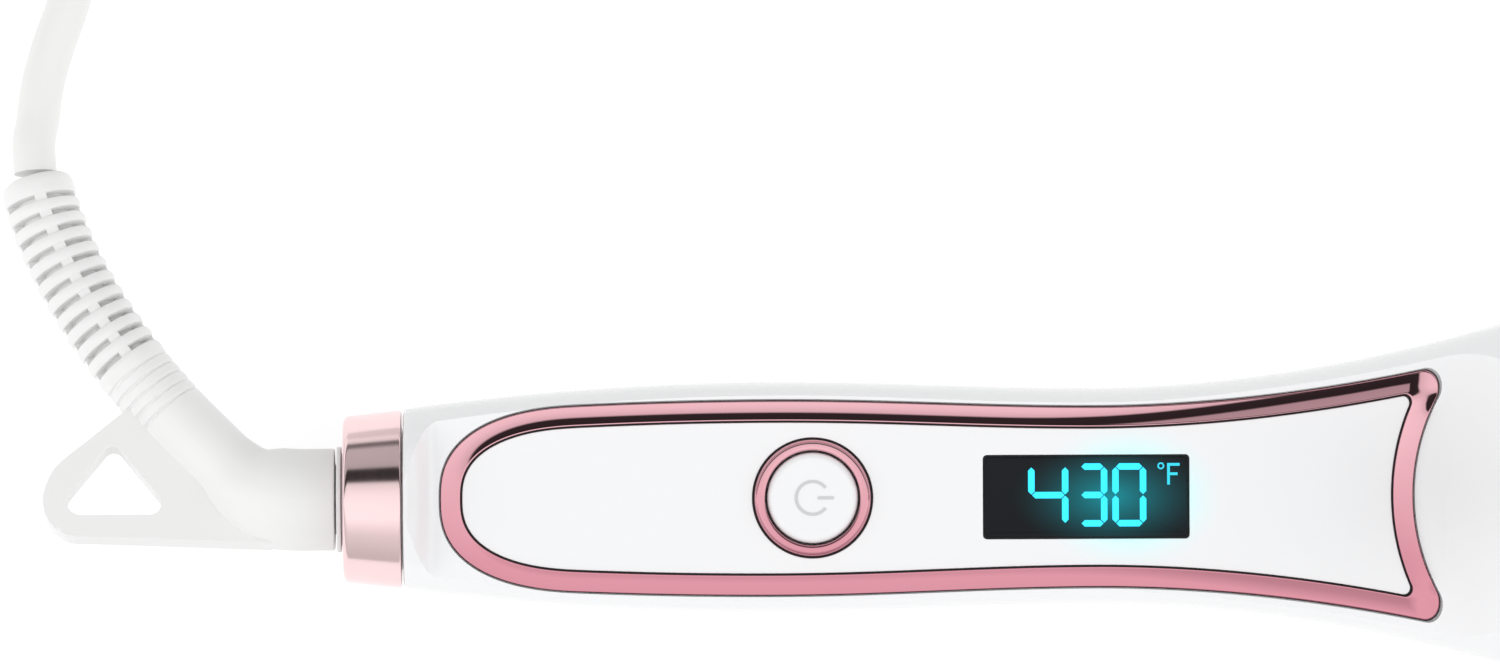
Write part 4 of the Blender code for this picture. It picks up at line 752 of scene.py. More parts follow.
def make_face(coats):
    low = FACE_HEIGHT - SEAT_DEPTH + GAP
    top = FACE_HEIGHT + TRIM_PROUD
    rings = [[(x, y, low) for x, y in trim_outline(TRIM_WIDTH)]]
    for inset in (2.8, 2.77, 2.7, 2.6, 2.45, 2.3, 2.1, 1.9, 1.7, 1.5, 1.3, 1.1, 0.9, 0.7, 0.5, 0.35, 0.2,
            0.1, 0.03, 0.0):
        edge = min(1.0, min(inset, 2.8 - inset) / 0.12)
        round_off = 0.12 * MM * (1.0 - sqrt(1.0 - (1.0 - edge) ** 2))
        ring = []
        for x, y in trim_outline(inset * MM):
            lean = TRIM_LEAN + TRIM_LEAN_FLARE * smooth_step((x - 96 * MM) / (46 * MM))
            middle = smooth_step((15.5 * MM - abs(y)) / (4 * MM))
            lean *= 1.0 - smooth_step((x - 149 * MM) / (3 * MM)) * middle
            back = TRIM_WIDTH - inset * MM
            fall = back * lean + TRIM_DISH * (back / TRIM_WIDTH) * (1.0 - back / TRIM_WIDTH) * TRIM_WIDTH
            ring.append((x, y, top - fall - round_off))
        rings.append(ring)
    rings.append([(x, y, low) for x, y in trim_outline(0.0)])
    shape = lofted(rings, closed=True)
    add_piece("trim_frame_bar", shape, coats["rose_trim"], "handle", ["trim_frame"], sharp=50)
    # Painted shade: a thin black sheet on the seat floor makes the gaps round the trim and panel read dark,
    # where shade falls.
    shade_sheet = prism(trim_outline(-0.12 * MM), "Z", FACE_HEIGHT - SEAT_DEPTH + 0.04 * MM,
            FACE_HEIGHT - SEAT_DEPTH + 0.22 * MM)
    shade_sheet = add_piece("gap_shade_sheet", shade_sheet, coats["black"], "handle")
    cut(shade_sheet, [disc("Z", BUTTON_AT, 0.0, BUTTON_RADIUS + 0.4 * MM, 0.0, FACE_HEIGHT, 96),
               window_hole(0.0, FACE_HEIGHT)])
    level = FACE_HEIGHT + 0.1 * MM
    panel = prism(trim_outline(TRIM_WIDTH + GAP), "Z", low, level)
    panel = add_piece("face_panel_sheet", panel, coats["panel"], "handle", ["face_panel"])
    hole = BUTTON_RADIUS + GAP + BEZEL_WIDTH + GAP
    length, width = DISPLAY_LENGTH / 2 + GAP, DISPLAY_WIDTH / 2 + GAP
    window = rounded_outline(DISPLAY_AT - length, DISPLAY_AT + length, -width, width, 0.6 * MM)
    cut(panel, [disc("Z", BUTTON_AT, 0.0, hole, 0.0, FACE_HEIGHT + MM, 96),
            prism(window, "Z", 0.0, 10 * MM)])
    soften(panel, 0.12 * MM)
    inner = BUTTON_RADIUS + GAP
    high = FACE_HEIGHT + BEZEL_PROUD
    points = [(low, inner), (high - 0.15 * MM, inner), (high, inner + 0.35 * MM)]
    points += [(high - 0.05 * MM, inner + BEZEL_WIDTH - 0.45 * MM), (high - 0.6 * MM, inner + BEZEL_WIDTH)]
    points += [(low, inner + BEZEL_WIDTH)]
    ring = turned(ring_profile(points, 0.25 * MM), True, 128, (BUTTON_AT, 0.0), "Z")
    add_piece("button_bezel_ring", ring, coats["rose_trim"], "handle", ["button_bezel"],
            sharp=50)


def make_button(coats):
    place = Matrix.Translation((BUTTON_AT, 0.0, FACE_HEIGHT))
    under = -FACE_WALL - GAP
    stem = -5.1 * MM
    top = 0.7 * MM
    r = BUTTON_RADIUS
    points = [(stem, 0.05 * MM), (stem, 2.0 * MM), (under - MM, 2.0 * MM), (under - MM, r + 1.1 * MM)]
    points += [(under, r + 1.1 * MM), (under, r), (top - 0.45 * MM, r), (top, r - 0.7 * MM)]
    points += [(top - 0.12 * MM, r * 0.55), (top - 0.16 * MM, r * 0.25), (top - 0.17 * MM, 0.05 * MM)]
    profile = rounded_profile(points, 0.5 * MM)
    shape = turned(profile, False, 96, (0.0, 0.0), "Z")
    add_piece("power_button_cap", shape, coats["white"], "button", ["power_button"],
            place=place)
    arc, thin = 2.6 * MM, 0.24 * MM
    low, high = top - 0.2 * MM, top - 0.09 * MM
    turns = [radians(angle) for angle in span(38, 322, 48)]
    ring = [(arc * cos(t), arc * sin(t)) for t in turns]
    ring += [((arc - 2 * thin) * cos(t), (arc - 2 * thin) * sin(t)) for t in reversed(turns)]
    add_piece("power_mark_arc", prism(ring, "Z", low, high), coats["mark"], "button", place=place)
    bar = rounded_outline(0.7 * MM, 3.1 * MM, -thin, thin, 0.2 * MM)
    add_piece("power_mark_bar", prism(bar, "Z", low, high), coats["mark"], "button", place=place)


def segment_shapes(x_low, x_high, lit, half_height, thick):
    """The lit bars of one seven-segment digit that reads upright with the iron's tip to the right."""
    a, b, top = x_low + thick / 2, x_high - thick / 2, half_height - thick / 2
    ends = {"top": ((a, top), (b, top)), "middle": ((a, 0.0), (b, 0.0)), "bottom": ((a, -top), (b, -top))}
    ends.update({"upper_left": ((a, top), (a, 0.0)), "upper_right": ((b, top), (b, 0.0))})
    ends.update({"lower_left": ((a, 0.0), (a, -top)), "lower_right": ((b, 0.0), (b, -top))})
    outlines = []
    for name in lit:
        start, end = (Vector(point) for point in ends[name])
        along = (end - start).normalized()
        across = Vector((-along.y, along.x)) * thick / 2
        gap, tip = along * 0.09 * MM, along * thick / 2
        points = [start + gap, start + gap + tip + across, end - gap - tip + across, end - gap]
        points += [end - gap - tip - across, start + gap + tip - across]
        outlines.append([tuple(point) for point in points])
    return outlines


def make_display(coats):
    low = FACE_HEIGHT - SEAT_DEPTH + GAP
    top = FACE_HEIGHT + 0.1 * MM
    shape = bmesh.new()
    rings = []
    for inset, height in ((0.0, low), (0.0, top - 0.12 * MM), (0.12, top - 0.02 * MM), (0.3, top),
            (0.55, top),
                          (0.75, top - 0.07 * MM)):
        length, width = DISPLAY_LENGTH / 2 - inset * MM, DISPLAY_WIDTH / 2 - inset * MM
        outline = rounded_outline(DISPLAY_AT - length, DISPLAY_AT + length, -width, width,
                max(0.1, 0.5 - inset / 2) * MM)
        rings.append([(x, y, height) for x, y in outline])
    loft(shape, rings)
    add_piece("display_window_lens", shape, coats["glass"], "handle", ["display_window"],
            sharp=20)
    figures = [(98.6, 104.4, ("upper_left", "upper_right", "middle", "lower_right"))]
    figures += [(105.7, 110.0, ("top", "middle", "bottom", "upper_right", "lower_right"))]
    figures += [(110.7, 115.6, ("top", "bottom", "upper_left", "upper_right", "lower_left", "lower_right"))]
    surface = top - 0.07 * MM
    shape = bmesh.new()
    for x_low, x_high, lit in figures:
        for outline in segment_shapes(x_low * MM, x_high * MM, lit, 4.55 * MM, 0.94 * MM):
            loft(shape, [[(x, y + 0.25 * MM, z) for x, y in outline]
                    for z in (surface, surface + 0.03 * MM)])
    add_piece("display_digits", shape, coats["digit"], "handle")
    shape = bmesh.new()
    turns = around(20)
    rings = []
    for radius, z in ((0.5, surface), (0.28, surface), (0.28, surface + 0.03 * MM),
            (0.5, surface + 0.03 * MM)):
        rings.append([((117.7 + radius * cos(t)) * MM, (4.4 + radius * sin(t)) * MM, z)
                for t in turns])
    loft(shape, rings, closed=True)
    for a, b, c, d in ((118.6, 119.0, 1.7, 4.8), (119.0, 120.4, 4.4, 4.8), (119.0, 120.1, 3.05, 3.45)):
        outline = box_outline(a * MM, b * MM, c * MM, d * MM)
        loft(shape, [[(x, y, z) for x, y in outline] for z in (surface, surface + 0.03 * MM)])
    add_piece("display_unit", shape, coats["unit"], "handle")


def make_tail(coats):
    bore = BUSH_RADIUS + GAP
    inner = COLLAR_TAIL - COLLAR_WALL
    points = [(0.0, bore), (0.0, COLLAR_TAIL - 0.5 * MM), (0.5 * MM, COLLAR_TAIL)]
    points += [(COLLAR_LENGTH, COLLAR_FRONT), (COLLAR_LENGTH, inner), (COLLAR_WALL, inner),
            (COLLAR_WALL, bore)]
    ring = turned(ring_profile(points, 0.35 * MM), True, 192)
    add_piece("tail_collar_ring", ring, coats["rose"], "handle", ["tail_collar"])
    low = -GAP - BUSH_FLANGE
    points = [(low, BUSH_BORE), (low, BUSH_FLANGE_RADIUS), (-GAP, BUSH_FLANGE_RADIUS), (-GAP, BUSH_RADIUS)]
    points += [(8 * MM, BUSH_RADIUS), (8 * MM, BUSH_BORE)]
    ring = turned(ring_profile(points, 0.15 * MM), True, 96)
    add_piece("swivel_bush_ring", ring, coats["bush"], "handle", ["swivel_bush"])


# ---------------------------------------------------------------- strain relief

def relief_centreline():
    """Centre line of the strain relief in its own plane, from the cord end to the tail collar."""
    points = [(-44.6, 47.6), (-43.2, 42.4), (-41.3, 37.5), (-39.0, 32.7), (-36.3, 28.0), (-33.2, 23.3)]
    points += [(-30.0, 19.0), (-27.2, 15.6), (-24.0, 11.9), (-20.5, 8.3), (-17.0, 4.8), (-14.0, 2.0)]
    points += [(-10.5, 0.4), (-7.0, 0.0), (-4.0, 0.0)]
    return [(x * MM, y * MM, 0.0) for x, y in points]


def relief_radius(share):
    return SLEEVE_RADIUS + (TUBE_RADIUS - SLEEVE_RADIUS) * smooth_step((share - 0.76) / 0.15)


def make_strain_relief(coats):
    """A slotted sleeve on four spines that swells into a tube, with a flat hanging loop moulded on."""
    route = smooth_curve(relief_centreline(), 0.2 * MM)
    lengths = [0.0]
    for a, b in zip(route, route[1:]):
        lengths.append(lengths[-1] + (b - a).length)
    whole = lengths[-1]
    slot_start, slot_pitch, slot_width, slots = 3.3 * MM, 2.62 * MM, 0.95 * MM, 11
    groove_start, groove_pitch = 32.7 * MM, 1.75 * MM
    lip = [(0.0, 0.80), (0.35, 0.90), (0.8, 0.965), (1.4, 0.995), (2.2, 1.0), (3.0, 1.0)]
    stations = [(s * MM, share, share) for s, share in lip]
    wall = 0.05 * MM
    for i in range(slots):
        start = slot_start + i * slot_pitch
        end = start + slot_width
        deep = 0.66
        stations += [(start - wall, 0.99, 0.985), (start, 0.965, 0.96), (start + wall, 0.955, deep)]
        stations += [(end - wall, 0.955, deep), (end, 0.965, 0.96), (end + wall, 0.99, 0.985)]
        stations += [(end + 0.3 * MM, 1.01, 1.01), (end + 0.8 * MM, 1.03, 1.03),
                (end + 1.3 * MM, 1.01, 1.01)]
    for i in range(5):
        start = groove_start + i * groove_pitch
        for offset, depth in ((-0.1, 1.0), (0.0, 0.985), (0.15, 0.945), (0.35, 0.945), (0.5, 0.985),
                (0.6, 1.0)):
            stations.append((start + offset * MM, depth, depth))
    last = stations[-1][0]
    stations += [(s, 1.0, 1.0) for s in span(last + 0.8 * MM, whole, 30)]
    angles = []
    for quarter in range(4):
        angles += [(90 * quarter + a, True) for a in (-10.0, -5.0, 0.0, 5.0, 10.0)]
        angles += [(90 * quarter + a, False) for a in (11.0, 20.0, 30.0, 40.0, 50.0, 60.0, 70.0, 79.0)]
    rings = []
    step = 0
    for s, spine, between in stations:
        while step < len(lengths) - 2 and lengths[step + 1] < s:
            step += 1
        t = min(1.0, (s - lengths[step]) / (lengths[step + 1] - lengths[step]))
        point = route[step].lerp(route[step + 1], t)
        heading = (route[min(step + 3, len(route) - 1)] - route[max(step - 3, 0)]).normalized()
        side = Vector((-heading.y, heading.x, 0.0))
        ring = []
        for degrees, on_spine in angles:
            radius = relief_radius(s / whole) * (spine if on_spine else between)
            turn = radians(degrees)
            ring.append(point + side * radius * cos(turn) + Vector((0, 0, radius * sin(turn))))
        rings.append(ring)
    face = -GAP - BUSH_FLANGE - GAP
    shank = BUSH_BORE - GAP
    for x, radius in ((face - 0.2 * MM, TUBE_RADIUS), (face, TUBE_RADIUS - 0.2 * MM), (face, shank),
            (8 * MM, shank)):
        turns = [radians(degrees) for degrees, _ in angles]
        rings.append([Vector((x, radius * cos(t), radius * sin(t))) for t in turns])
    shape = lofted(rings)
    lean = Matrix.Rotation(RELIEF_LEAN, 4, "X")
    relief = add_piece("strain_relief_sleeve", shape, coats["soft"], "cord_swivel", ["strain_relief"],
                       place=lean)
    edge = [(-27.0, 16.4), (-32.0, 12.3), (-36.5, 8.6), (-41.0, 4.9), (-42.6, 2.4), (-43.3, -0.4),
            (-42.7, -3.0)]
    edge += [(-41.2, -4.9), (-39.0, -5.8), (-36.0, -5.9), (-27.0, -6.25), (-18.0, -6.6), (-10.0, -6.9)]
    route = smooth_curve([(x * MM, y * MM, 0.0) for x, y in edge], 0.8 * MM)
    outline = [(point.x, point.y) for point in route] + [(-9.0 * MM, -2.0 * MM), (-14.0 * MM, 2.0 * MM),
            (-22.0 * MM, 10.0 * MM)]
    half = LOOP_THICKNESS / 2
    plate = prism(outline, "Z", -half, half)
    rims = [e for e in plate.edges if abs(e.verts[0].co.z - e.verts[1].co.z) < half]
    bmesh.ops.bevel(plate, geom=rims, offset=0.9 * MM, segments=4, affect="EDGES", profile=0.5)
    corners = [(-33.2, 6.0, 1.5, 35, 135), (-37.8, -0.6, 2.1, 135, 270), (-27.9, -1.0, 1.7, 270, 395)]
    eye = []
    for x, y, radius, start, end in corners:
        eye += [((x + radius * cos(t)) * MM, (y + radius * sin(t)) * MM)
                for t in (radians(a) for a in span(start, end, 10))]
    cut(relief, [plate], place=lean, operation="UNION")
    cut(relief, [prism(eye, "Z", -2 * half, 2 * half)], place=lean)
    return relief


# ---------------------------------------------------------------- cord, tie and plug

def cord_start():
    x, y, _ = relief_centreline()[0]
    return Vector((x, y * cos(RELIEF_LEAN), y * sin(RELIEF_LEAN)))


def coil_point(degrees, radius, height):
    turn = radians(degrees)
    return Vector((COIL_X + radius * cos(turn), COIL_Y + radius * sin(turn), height - GRIP_DEPTH))


def coil_route():
    """Clockwise turns in three layers: in along the table, out on top, then back down outside the ring."""
    rim = COIL_MIDDLE_RADIUS + 1.5 * COIL_PITCH
    layers = [COIL_BASE + CORD_RADIUS + i * COIL_LAYER_PITCH for i in range(3)]
    plan = [(0.0, 51.2 * MM, 3.15 * MM), (90.0, rim, layers[0])]
    turn = 360.0
    for column in range(1, 4):
        plan += [(turn - 60.0, rim - (column - 1) * COIL_PITCH, layers[0]),
                (turn, rim - column * COIL_PITCH, layers[0])]
        turn += 360.0
    plan += [(turn - 50.0, rim - 3 * COIL_PITCH, layers[0]), (turn + 20.0, rim - 3 * COIL_PITCH, layers[1])]
    for column in range(2, -1, -1):
        turn += 360.0
        plan += [(turn - 60.0, rim - (column + 1) * COIL_PITCH, layers[1]),
                (turn, rim - column * COIL_PITCH, layers[1])]
    turn += 360.0
    plan += [(turn - 50.0, rim, layers[1]), (turn + 20.0, rim - COIL_PITCH, layers[2])]
    plan += [(turn + 330.0, rim - COIL_PITCH, layers[2]), (turn + 390.0, rim, layers[2])]
    plan += [(turn + 730.0, rim, layers[2]), (turn + 755.0, rim + 2 * MM, layers[2] - MM)]
    plan += [(turn + 841.5, 52.5 * MM, 3.15 * MM)]
    route = []
    for (a, r, z), (b, s, w) in zip(plan, plan[1:]):
        count = max(2, round((b - a) / 22.5))
        for i in range(count):
            share = smooth_step(i / count)
            route.append(coil_point(180.0 - a - (b - a) * i / count, r + (s - r) * share,
                    z + (w - z) * share))
    return route


def make_cord(coats, relief):
    start = cord_start()
    lead = [(-44.62, 47.3), (-44.85, 51.5), (-44.3, 55.0), (-43.6, 60.0), (-42.1, 65.5), (-40.2, 70.8)]
    lead += [(-38.8, 76.0), (-38.2, 82.0), (-38.3, 89.0), (-38.8, 97.0), (-39.5, 106.0), (-39.9, 115.0)]
    drops = [0.0, 0.35, 0.75, 0.95]
    route = []
    for i, (x, y) in enumerate(lead):
        share = drops[i] if i < len(drops) else 1.0
        route.append(Vector((x * MM, y * MM, start.z + (CORD_REST - start.z) * share)))
    route += coil_route()
    tail = [(38.6, 168.8), (46.6, 163.6), (54.4, 158.6), (61.4, 153.4), (67.4, 148.2), (70.4, 145.5)]
    plug = -GRIP_DEPTH + PLUG_HEIGHT
    for (x, y), share in zip(tail, (0.0, 0.0, 0.15, 0.6, 0.98, 1.0)):
        route.append(Vector((x * MM, y * MM, CORD_REST + (plug - CORD_REST) * share)))
    curve = bpy.data.curves.new("mains_cord", "CURVE")
    curve.dimensions = "3D"
    curve.bevel_depth = CORD_RADIUS
    curve.bevel_resolution = 8
    curve.resolution_u = 6
    curve.use_fill_caps = True
    spline = curve.splines.new("BEZIER")
    spline.bezier_points.add(len(route) - 1)
    for knot, point in zip(spline.bezier_points, route):
        knot.co = AXIS + point
        knot.handle_left_type = knot.handle_right_type = "AUTO"
    curve.materials.append(coats["cord"])
    cord = bpy.data.objects.new("mains_cord", curve)
    bpy.context.collection.objects.link(cord)
    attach(cord, "cord_swivel")
    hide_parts("cord_lead", "cord_coil", "cord_tail")
    pieces = [relief, make_tie(coats)] + make_plug(coats, route[-1], route[-1] - route[-2])


def make_tie(coats):
    """A soft black strap round the coil."""
    half, thick = 6.0 * MM, 0.9 * MM
    turn = radians(-62)
    along = Vector((-sin(turn), cos(turn), 0.0))
    out = Vector((cos(turn), sin(turn), 0.0))
    centre = Vector((COIL_X, COIL_Y, 0.0))
    rim = 2 * COIL_PITCH
    inner = sqrt((COIL_MIDDLE_RADIUS - rim) ** 2 - half * half)
    outer = COIL_MIDDLE_RADIUS + rim
    low = -GRIP_DEPTH + thick + GAP
    high = low + 2 * COIL_LAYER_PITCH + CORD_DIAMETER
    rings = []
    outline = [(-half, GAP), (half, GAP), (half, GAP + thick * 0.7), (half - 0.25 * MM, GAP + thick)]
    outline += [(-half + 0.25 * MM, GAP + thick), (-half, GAP + thick * 0.7)]
    for offset, extra in outline:
        corners = rounded_outline(inner - extra, outer + extra, low - extra, high + extra, 1.6 * MM, 6)
        rings.append([centre + along * offset + out * r + Vector((0, 0, z)) for r, z in corners])
    shape = lofted(rings, closed=True)
    return add_piece("cord_tie_strap", shape, coats["strap"], "cord_swivel", ["cord_tie"])


def make_plug(coats, end, heading):
    """A two-blade plug lying on its side, with grip ridges on both faces."""
    turn = atan2(heading.y, heading.x)
    place = Vector((end.x, end.y, -GRIP_DEPTH + PLUG_HEIGHT)) + Vector((cos(turn), sin(turn),
            0.0)) * GAP * 2
    place = Matrix.Translation(place) @ Matrix.Rotation(turn, 4, "Z")
    knots = [(0.0, 4.0, 4.0), (0.5, 4.2, 4.2), (3.0, 4.35, 4.35), (6.5, 4.6, 4.6), (10.0, 5.1, 5.0),
            (12.0, 6.6, 5.7)]
    knots += [(14.0, 8.5, 6.4), (17.0, 10.7, 6.9), (20.0, 11.9, 7.1), (25.0, 12.4, 7.15), (31.0, 12.5, 7.2)]
    knots += [(33.0, 12.3, 7.0), (33.7, 12.0, 6.8), (34.0, 11.5, 6.5)]
    rings = []
    for (x, width, height), (x_next, width_next, height_next) in zip(knots, knots[1:] + knots[-1:]):
        for share in ((0.0, 0.5) if x_next - x > 1.0 else (0.0,)):
            a, b = width + (width_next - width) * share, height + (height_next - height) * share
            ridge = 0.25 if 19.0 < x + (x_next - x) * share < 30.0 and share else 0.0
            outline = rounded_outline(-a, a, -b + ridge, b - ridge, min(a, b) * 0.8, 8)
            rings.append([((x + (x_next - x) * share) * MM, y * MM, z * MM) for y, z in outline])
    shape = lofted(rings)
    made = [add_piece("plug_grip", shape, coats["cord"], "cord_swivel", ["plug_body"],
            place=place)]
    for side, y in (("left", 6.35 * MM), ("right", -6.35 * MM)):
        outline = rounded_outline(34.0 * MM + GAP, 51.0 * MM, -3.15 * MM, 3.15 * MM, 0.9 * MM)
        blade = add_piece("plug_pin_" + side, prism(outline, "Y", y - 0.75 * MM, y + 0.75 * MM),
                coats["brass"],
                          "cord_swivel", ["plug_blade_" + side], place=place)
        cut(blade, [disc("Y", 47.2 * MM, 0.0, 1.6 * MM, y - 2 * MM, y + 2 * MM, 32)], place=place)
        soften(blade, 0.15 * MM)
        made.append(blade)
    return made


# ---------------------------------------------------------------- barrel end

def make_front(coats):
    start = HANDLE_END + GAP
    end = start + 2.5 * MM
    bore = SHIELD_NECK + GAP
    width, height = half_width(HANDLE_END) - 0.9 * MM, GRIP_DEPTH - GAP
    turns = around(160)
    rings = []
    for x, shrink in ((start, 0.25), (start + 0.2 * MM, 0.0), (end - 0.9 * MM, 0.0), (end - 0.35 * MM, 0.2),
            (end, 0.9)):
        rings.append([(x, (width - shrink * MM) * cos(t), (height - shrink * MM) * sin(t))
                for t in turns])
    rings.append([(end, (width - 5 * MM) * cos(t), (height - 2.2 * MM) * sin(t)) for t in turns])
    for x in (end, start):
        rings.append([(x, bore * cos(t), bore * sin(t)) for t in turns])
    shape = lofted(rings, closed=True)
    add_piece("front_bezel_plate", shape, coats["rose"], "handle", ["front_bezel"])
    neck, hole = SHIELD_NECK, 7.0 * MM
    spigot = BARREL_RADIUS - BARREL_WALL - GAP
    back = 178.0 * MM
    seat = end + GAP
    flange = seat + 2.4 * MM
    points = [(back - 2.2 * MM, hole), (back - 2.2 * MM, neck + 1.5 * MM), (back, neck + 1.5 * MM),
            (back, neck)]
    points += [(seat, neck), (seat, BARREL_RADIUS + 0.4 * MM), (flange - 0.6 * MM, BARREL_RADIUS + 0.4 * MM)]
    points += [(flange, BARREL_RADIUS - 0.2 * MM), (flange, spigot), (flange + 12 * MM, spigot),
            (flange + 12 * MM, hole)]
    ring = turned(ring_profile(points, 0.3 * MM), True, 128)
    add_piece("heat_shield_ring", ring, coats["black"], "handle", ["heat_shield"])
    inner = BARREL_RADIUS - BARREL_WALL
    points = [(BARREL_START, inner), (BARREL_START, BARREL_RADIUS), (BARREL_END, BARREL_RADIUS),
            (BARREL_END, inner)]
    add_piece("barrel_tube", turned(ring_profile(points, 0.3 * MM), True, 160), coats["barrel"], "handle",
            ["barrel"])
    rim = GRIP_DEPTH
    back = BARREL_END + GAP
    points = [(back - 10 * MM, spigot - 1.5 * MM), (back - 10 * MM, spigot), (back, spigot),
            (back, rim - 0.3 * MM)]
    points += [(back + 0.3 * MM, rim)]
    for along in (2.0, 5.0, 8.0):
        points += [(back + (along + edge) * MM, rim - drop * MM)
                for edge, drop in ((0, 0), (0.2, 0.3), (0.8, 0.3), (1, 0))]
    for degrees in span(20, 90, 10):
        t = radians(degrees)
        points.append((TIP_END - 12 * MM + 12 * MM * sin(t),
                rim - 8 * MM + 8 * MM * cos(t) ** 0.8))
    points += [(TIP_END - 0.3 * MM, 4.0 * MM), (TIP_END - 0.3 * MM, 0.05 * MM),
            (TIP_END - 1.8 * MM, 0.05 * MM)]
    points += [(TIP_END - 4 * MM, rim - 8 * MM), (TIP_END - 9 * MM, spigot - 1.5 * MM)]
    add_piece("cool_tip_cap", turned(points, True, 128), coats["black"], "handle", ["cool_tip"])


def arc_plate(stations, inner, outer, steps=40):
    """A curved plate that hugs the top of the barrel, as wide at each station as its half angle says."""
    shape = bmesh.new()
    rings = []
    for x, half_angle in stations:
        turns = [pi / 2 + half_angle * (2 * i / steps - 1) for i in range(steps + 1)]
        ring = [(x, outer * cos(t), outer * sin(t)) for t in turns]
        rings.append(ring + [(x, inner * cos(t), inner * sin(t)) for t in reversed(turns)])
    loft(shape, rings)
    return shape


def ear_outline(x, z, radius, base):
    turns = [pi * i / 32 for i in range(33)]
    return [(x + radius * cos(t), z + radius * sin(t))
            for t in turns] + [(x - radius, base), (x + radius, base)]


def make_bracket(coats):
    inner = BARREL_RADIUS + GAP
    outer = inner + CLAMP_THICKNESS
    half = radians(38)
    ends = [(HINGE_AT - 7 * MM, half * 0.96), (HINGE_AT - 6.5 * MM, half), (HINGE_AT + 9 * MM, half)]
    bracket = add_piece("hinge_bracket_plate", arc_plate(ends, inner, outer), coats["steel"], "handle",
                        ["hinge_bracket"])
    for side in (1, -1):
        low, high = sorted((side * 6.6 * MM, side * 7.8 * MM))
        ear = prism(ear_outline(HINGE_AT, HINGE_HEIGHT, 3.2 * MM, BARREL_RADIUS - 0.8 * MM), "Y", low, high)
        cut(bracket, [ear], operation="UNION")
    holes = [disc("Y", HINGE_AT, HINGE_HEIGHT, 1.4 * MM, -12 * MM, 12 * MM, 32)]
    holes += [disc("Z", HINGE_AT - 4.8 * MM, side * 2.6 * MM, 1.0 * MM, 10 * MM, 20 * MM, 24)
            for side in (1, -1)]
    cut(bracket, holes)
    soften(bracket, 0.12 * MM)
    points = [(-9.0 * MM, 0.05 * MM), (-9.0 * MM, 1.1 * MM), (9.0 * MM, 1.1 * MM), (9.0 * MM, 0.05 * MM)]
    pin = turned(rounded_profile(points, 0.25 * MM), False, 40, (HINGE_AT, HINGE_HEIGHT), "Y")
    add_piece("hinge_pin_rod", pin, coats["steel"], "handle", ["hinge_pin"])
    mean, pitch, turns = 2.3 * MM, 1.25 * MM, 4
    route = [(8.0 * MM, -turns / 2 * pitch, -0.9 * MM), (4.0 * MM, -turns / 2 * pitch, -1.9 * MM)]
    for i in range(turns * 10 + 1):
        angle = 2 * pi * i / 10 - pi / 2
        route.append((mean * cos(angle), (i / 10 - turns / 2) * pitch, mean * sin(angle)))
    route += [(-1.6 * MM, turns / 2 * pitch, -2.35 * MM), (-3.0 * MM, turns / 2 * pitch, -2.4 * MM)]
    route = smooth_curve(route, 0.3 * MM)
    shape = bmesh.new()
    rings = []
    across = Vector((0.0, 1.0, 0.0))
    for i, point in enumerate(route):
        ahead = (route[min(i + 1, len(route) - 1)] - route[max(i - 1, 0)]).normalized()
        out = ahead.cross(across).normalized()
        up = out.cross(ahead)
        ring = [0.4 * MM * (out * cos(t) + up * sin(t)) for t in (pi * k / 6
                for k in range(12))]
        rings.append([point + offset + Vector((HINGE_AT, 0.0, HINGE_HEIGHT)) for offset in ring])
    loft(shape, rings)
    add_piece("clamp_spring_wire", shape, coats["steel"], "handle", ["clamp_spring"])


def strip_outline():
    """Side view of the strip that carries the lever, about the hinge pin."""
    rear = Vector((-2.0, 4.2, 0.0)) + Vector((-cos(LEVER_RISE), sin(LEVER_RISE),
            0.0)) * LEVER_LENGTH / MM
    knots = [rear, (-2.0, 4.2, 0.0), (2.5, 3.5, 0.0), (12.0, -2.0, 0.0), (15.0, -3.1, 0.0),
            (20.0, -3.4, 0.0)]
    centre = [Vector(knots[0])] + smooth_curve(knots[1:], 1.0)
    above, below = [], []
    for i, point in enumerate(centre):
        ahead = (centre[min(i + 1, len(centre) - 1)] - centre[max(i - 1, 0)]).normalized()
        normal = Vector((-ahead.y, ahead.x, 0.0)) * (STRIP_THICKNESS / MM / 2)
        above.append((point + normal) * MM)
        below.append((point - normal) * MM)
    return [(point.x, point.y) for point in above + list(reversed(below))]


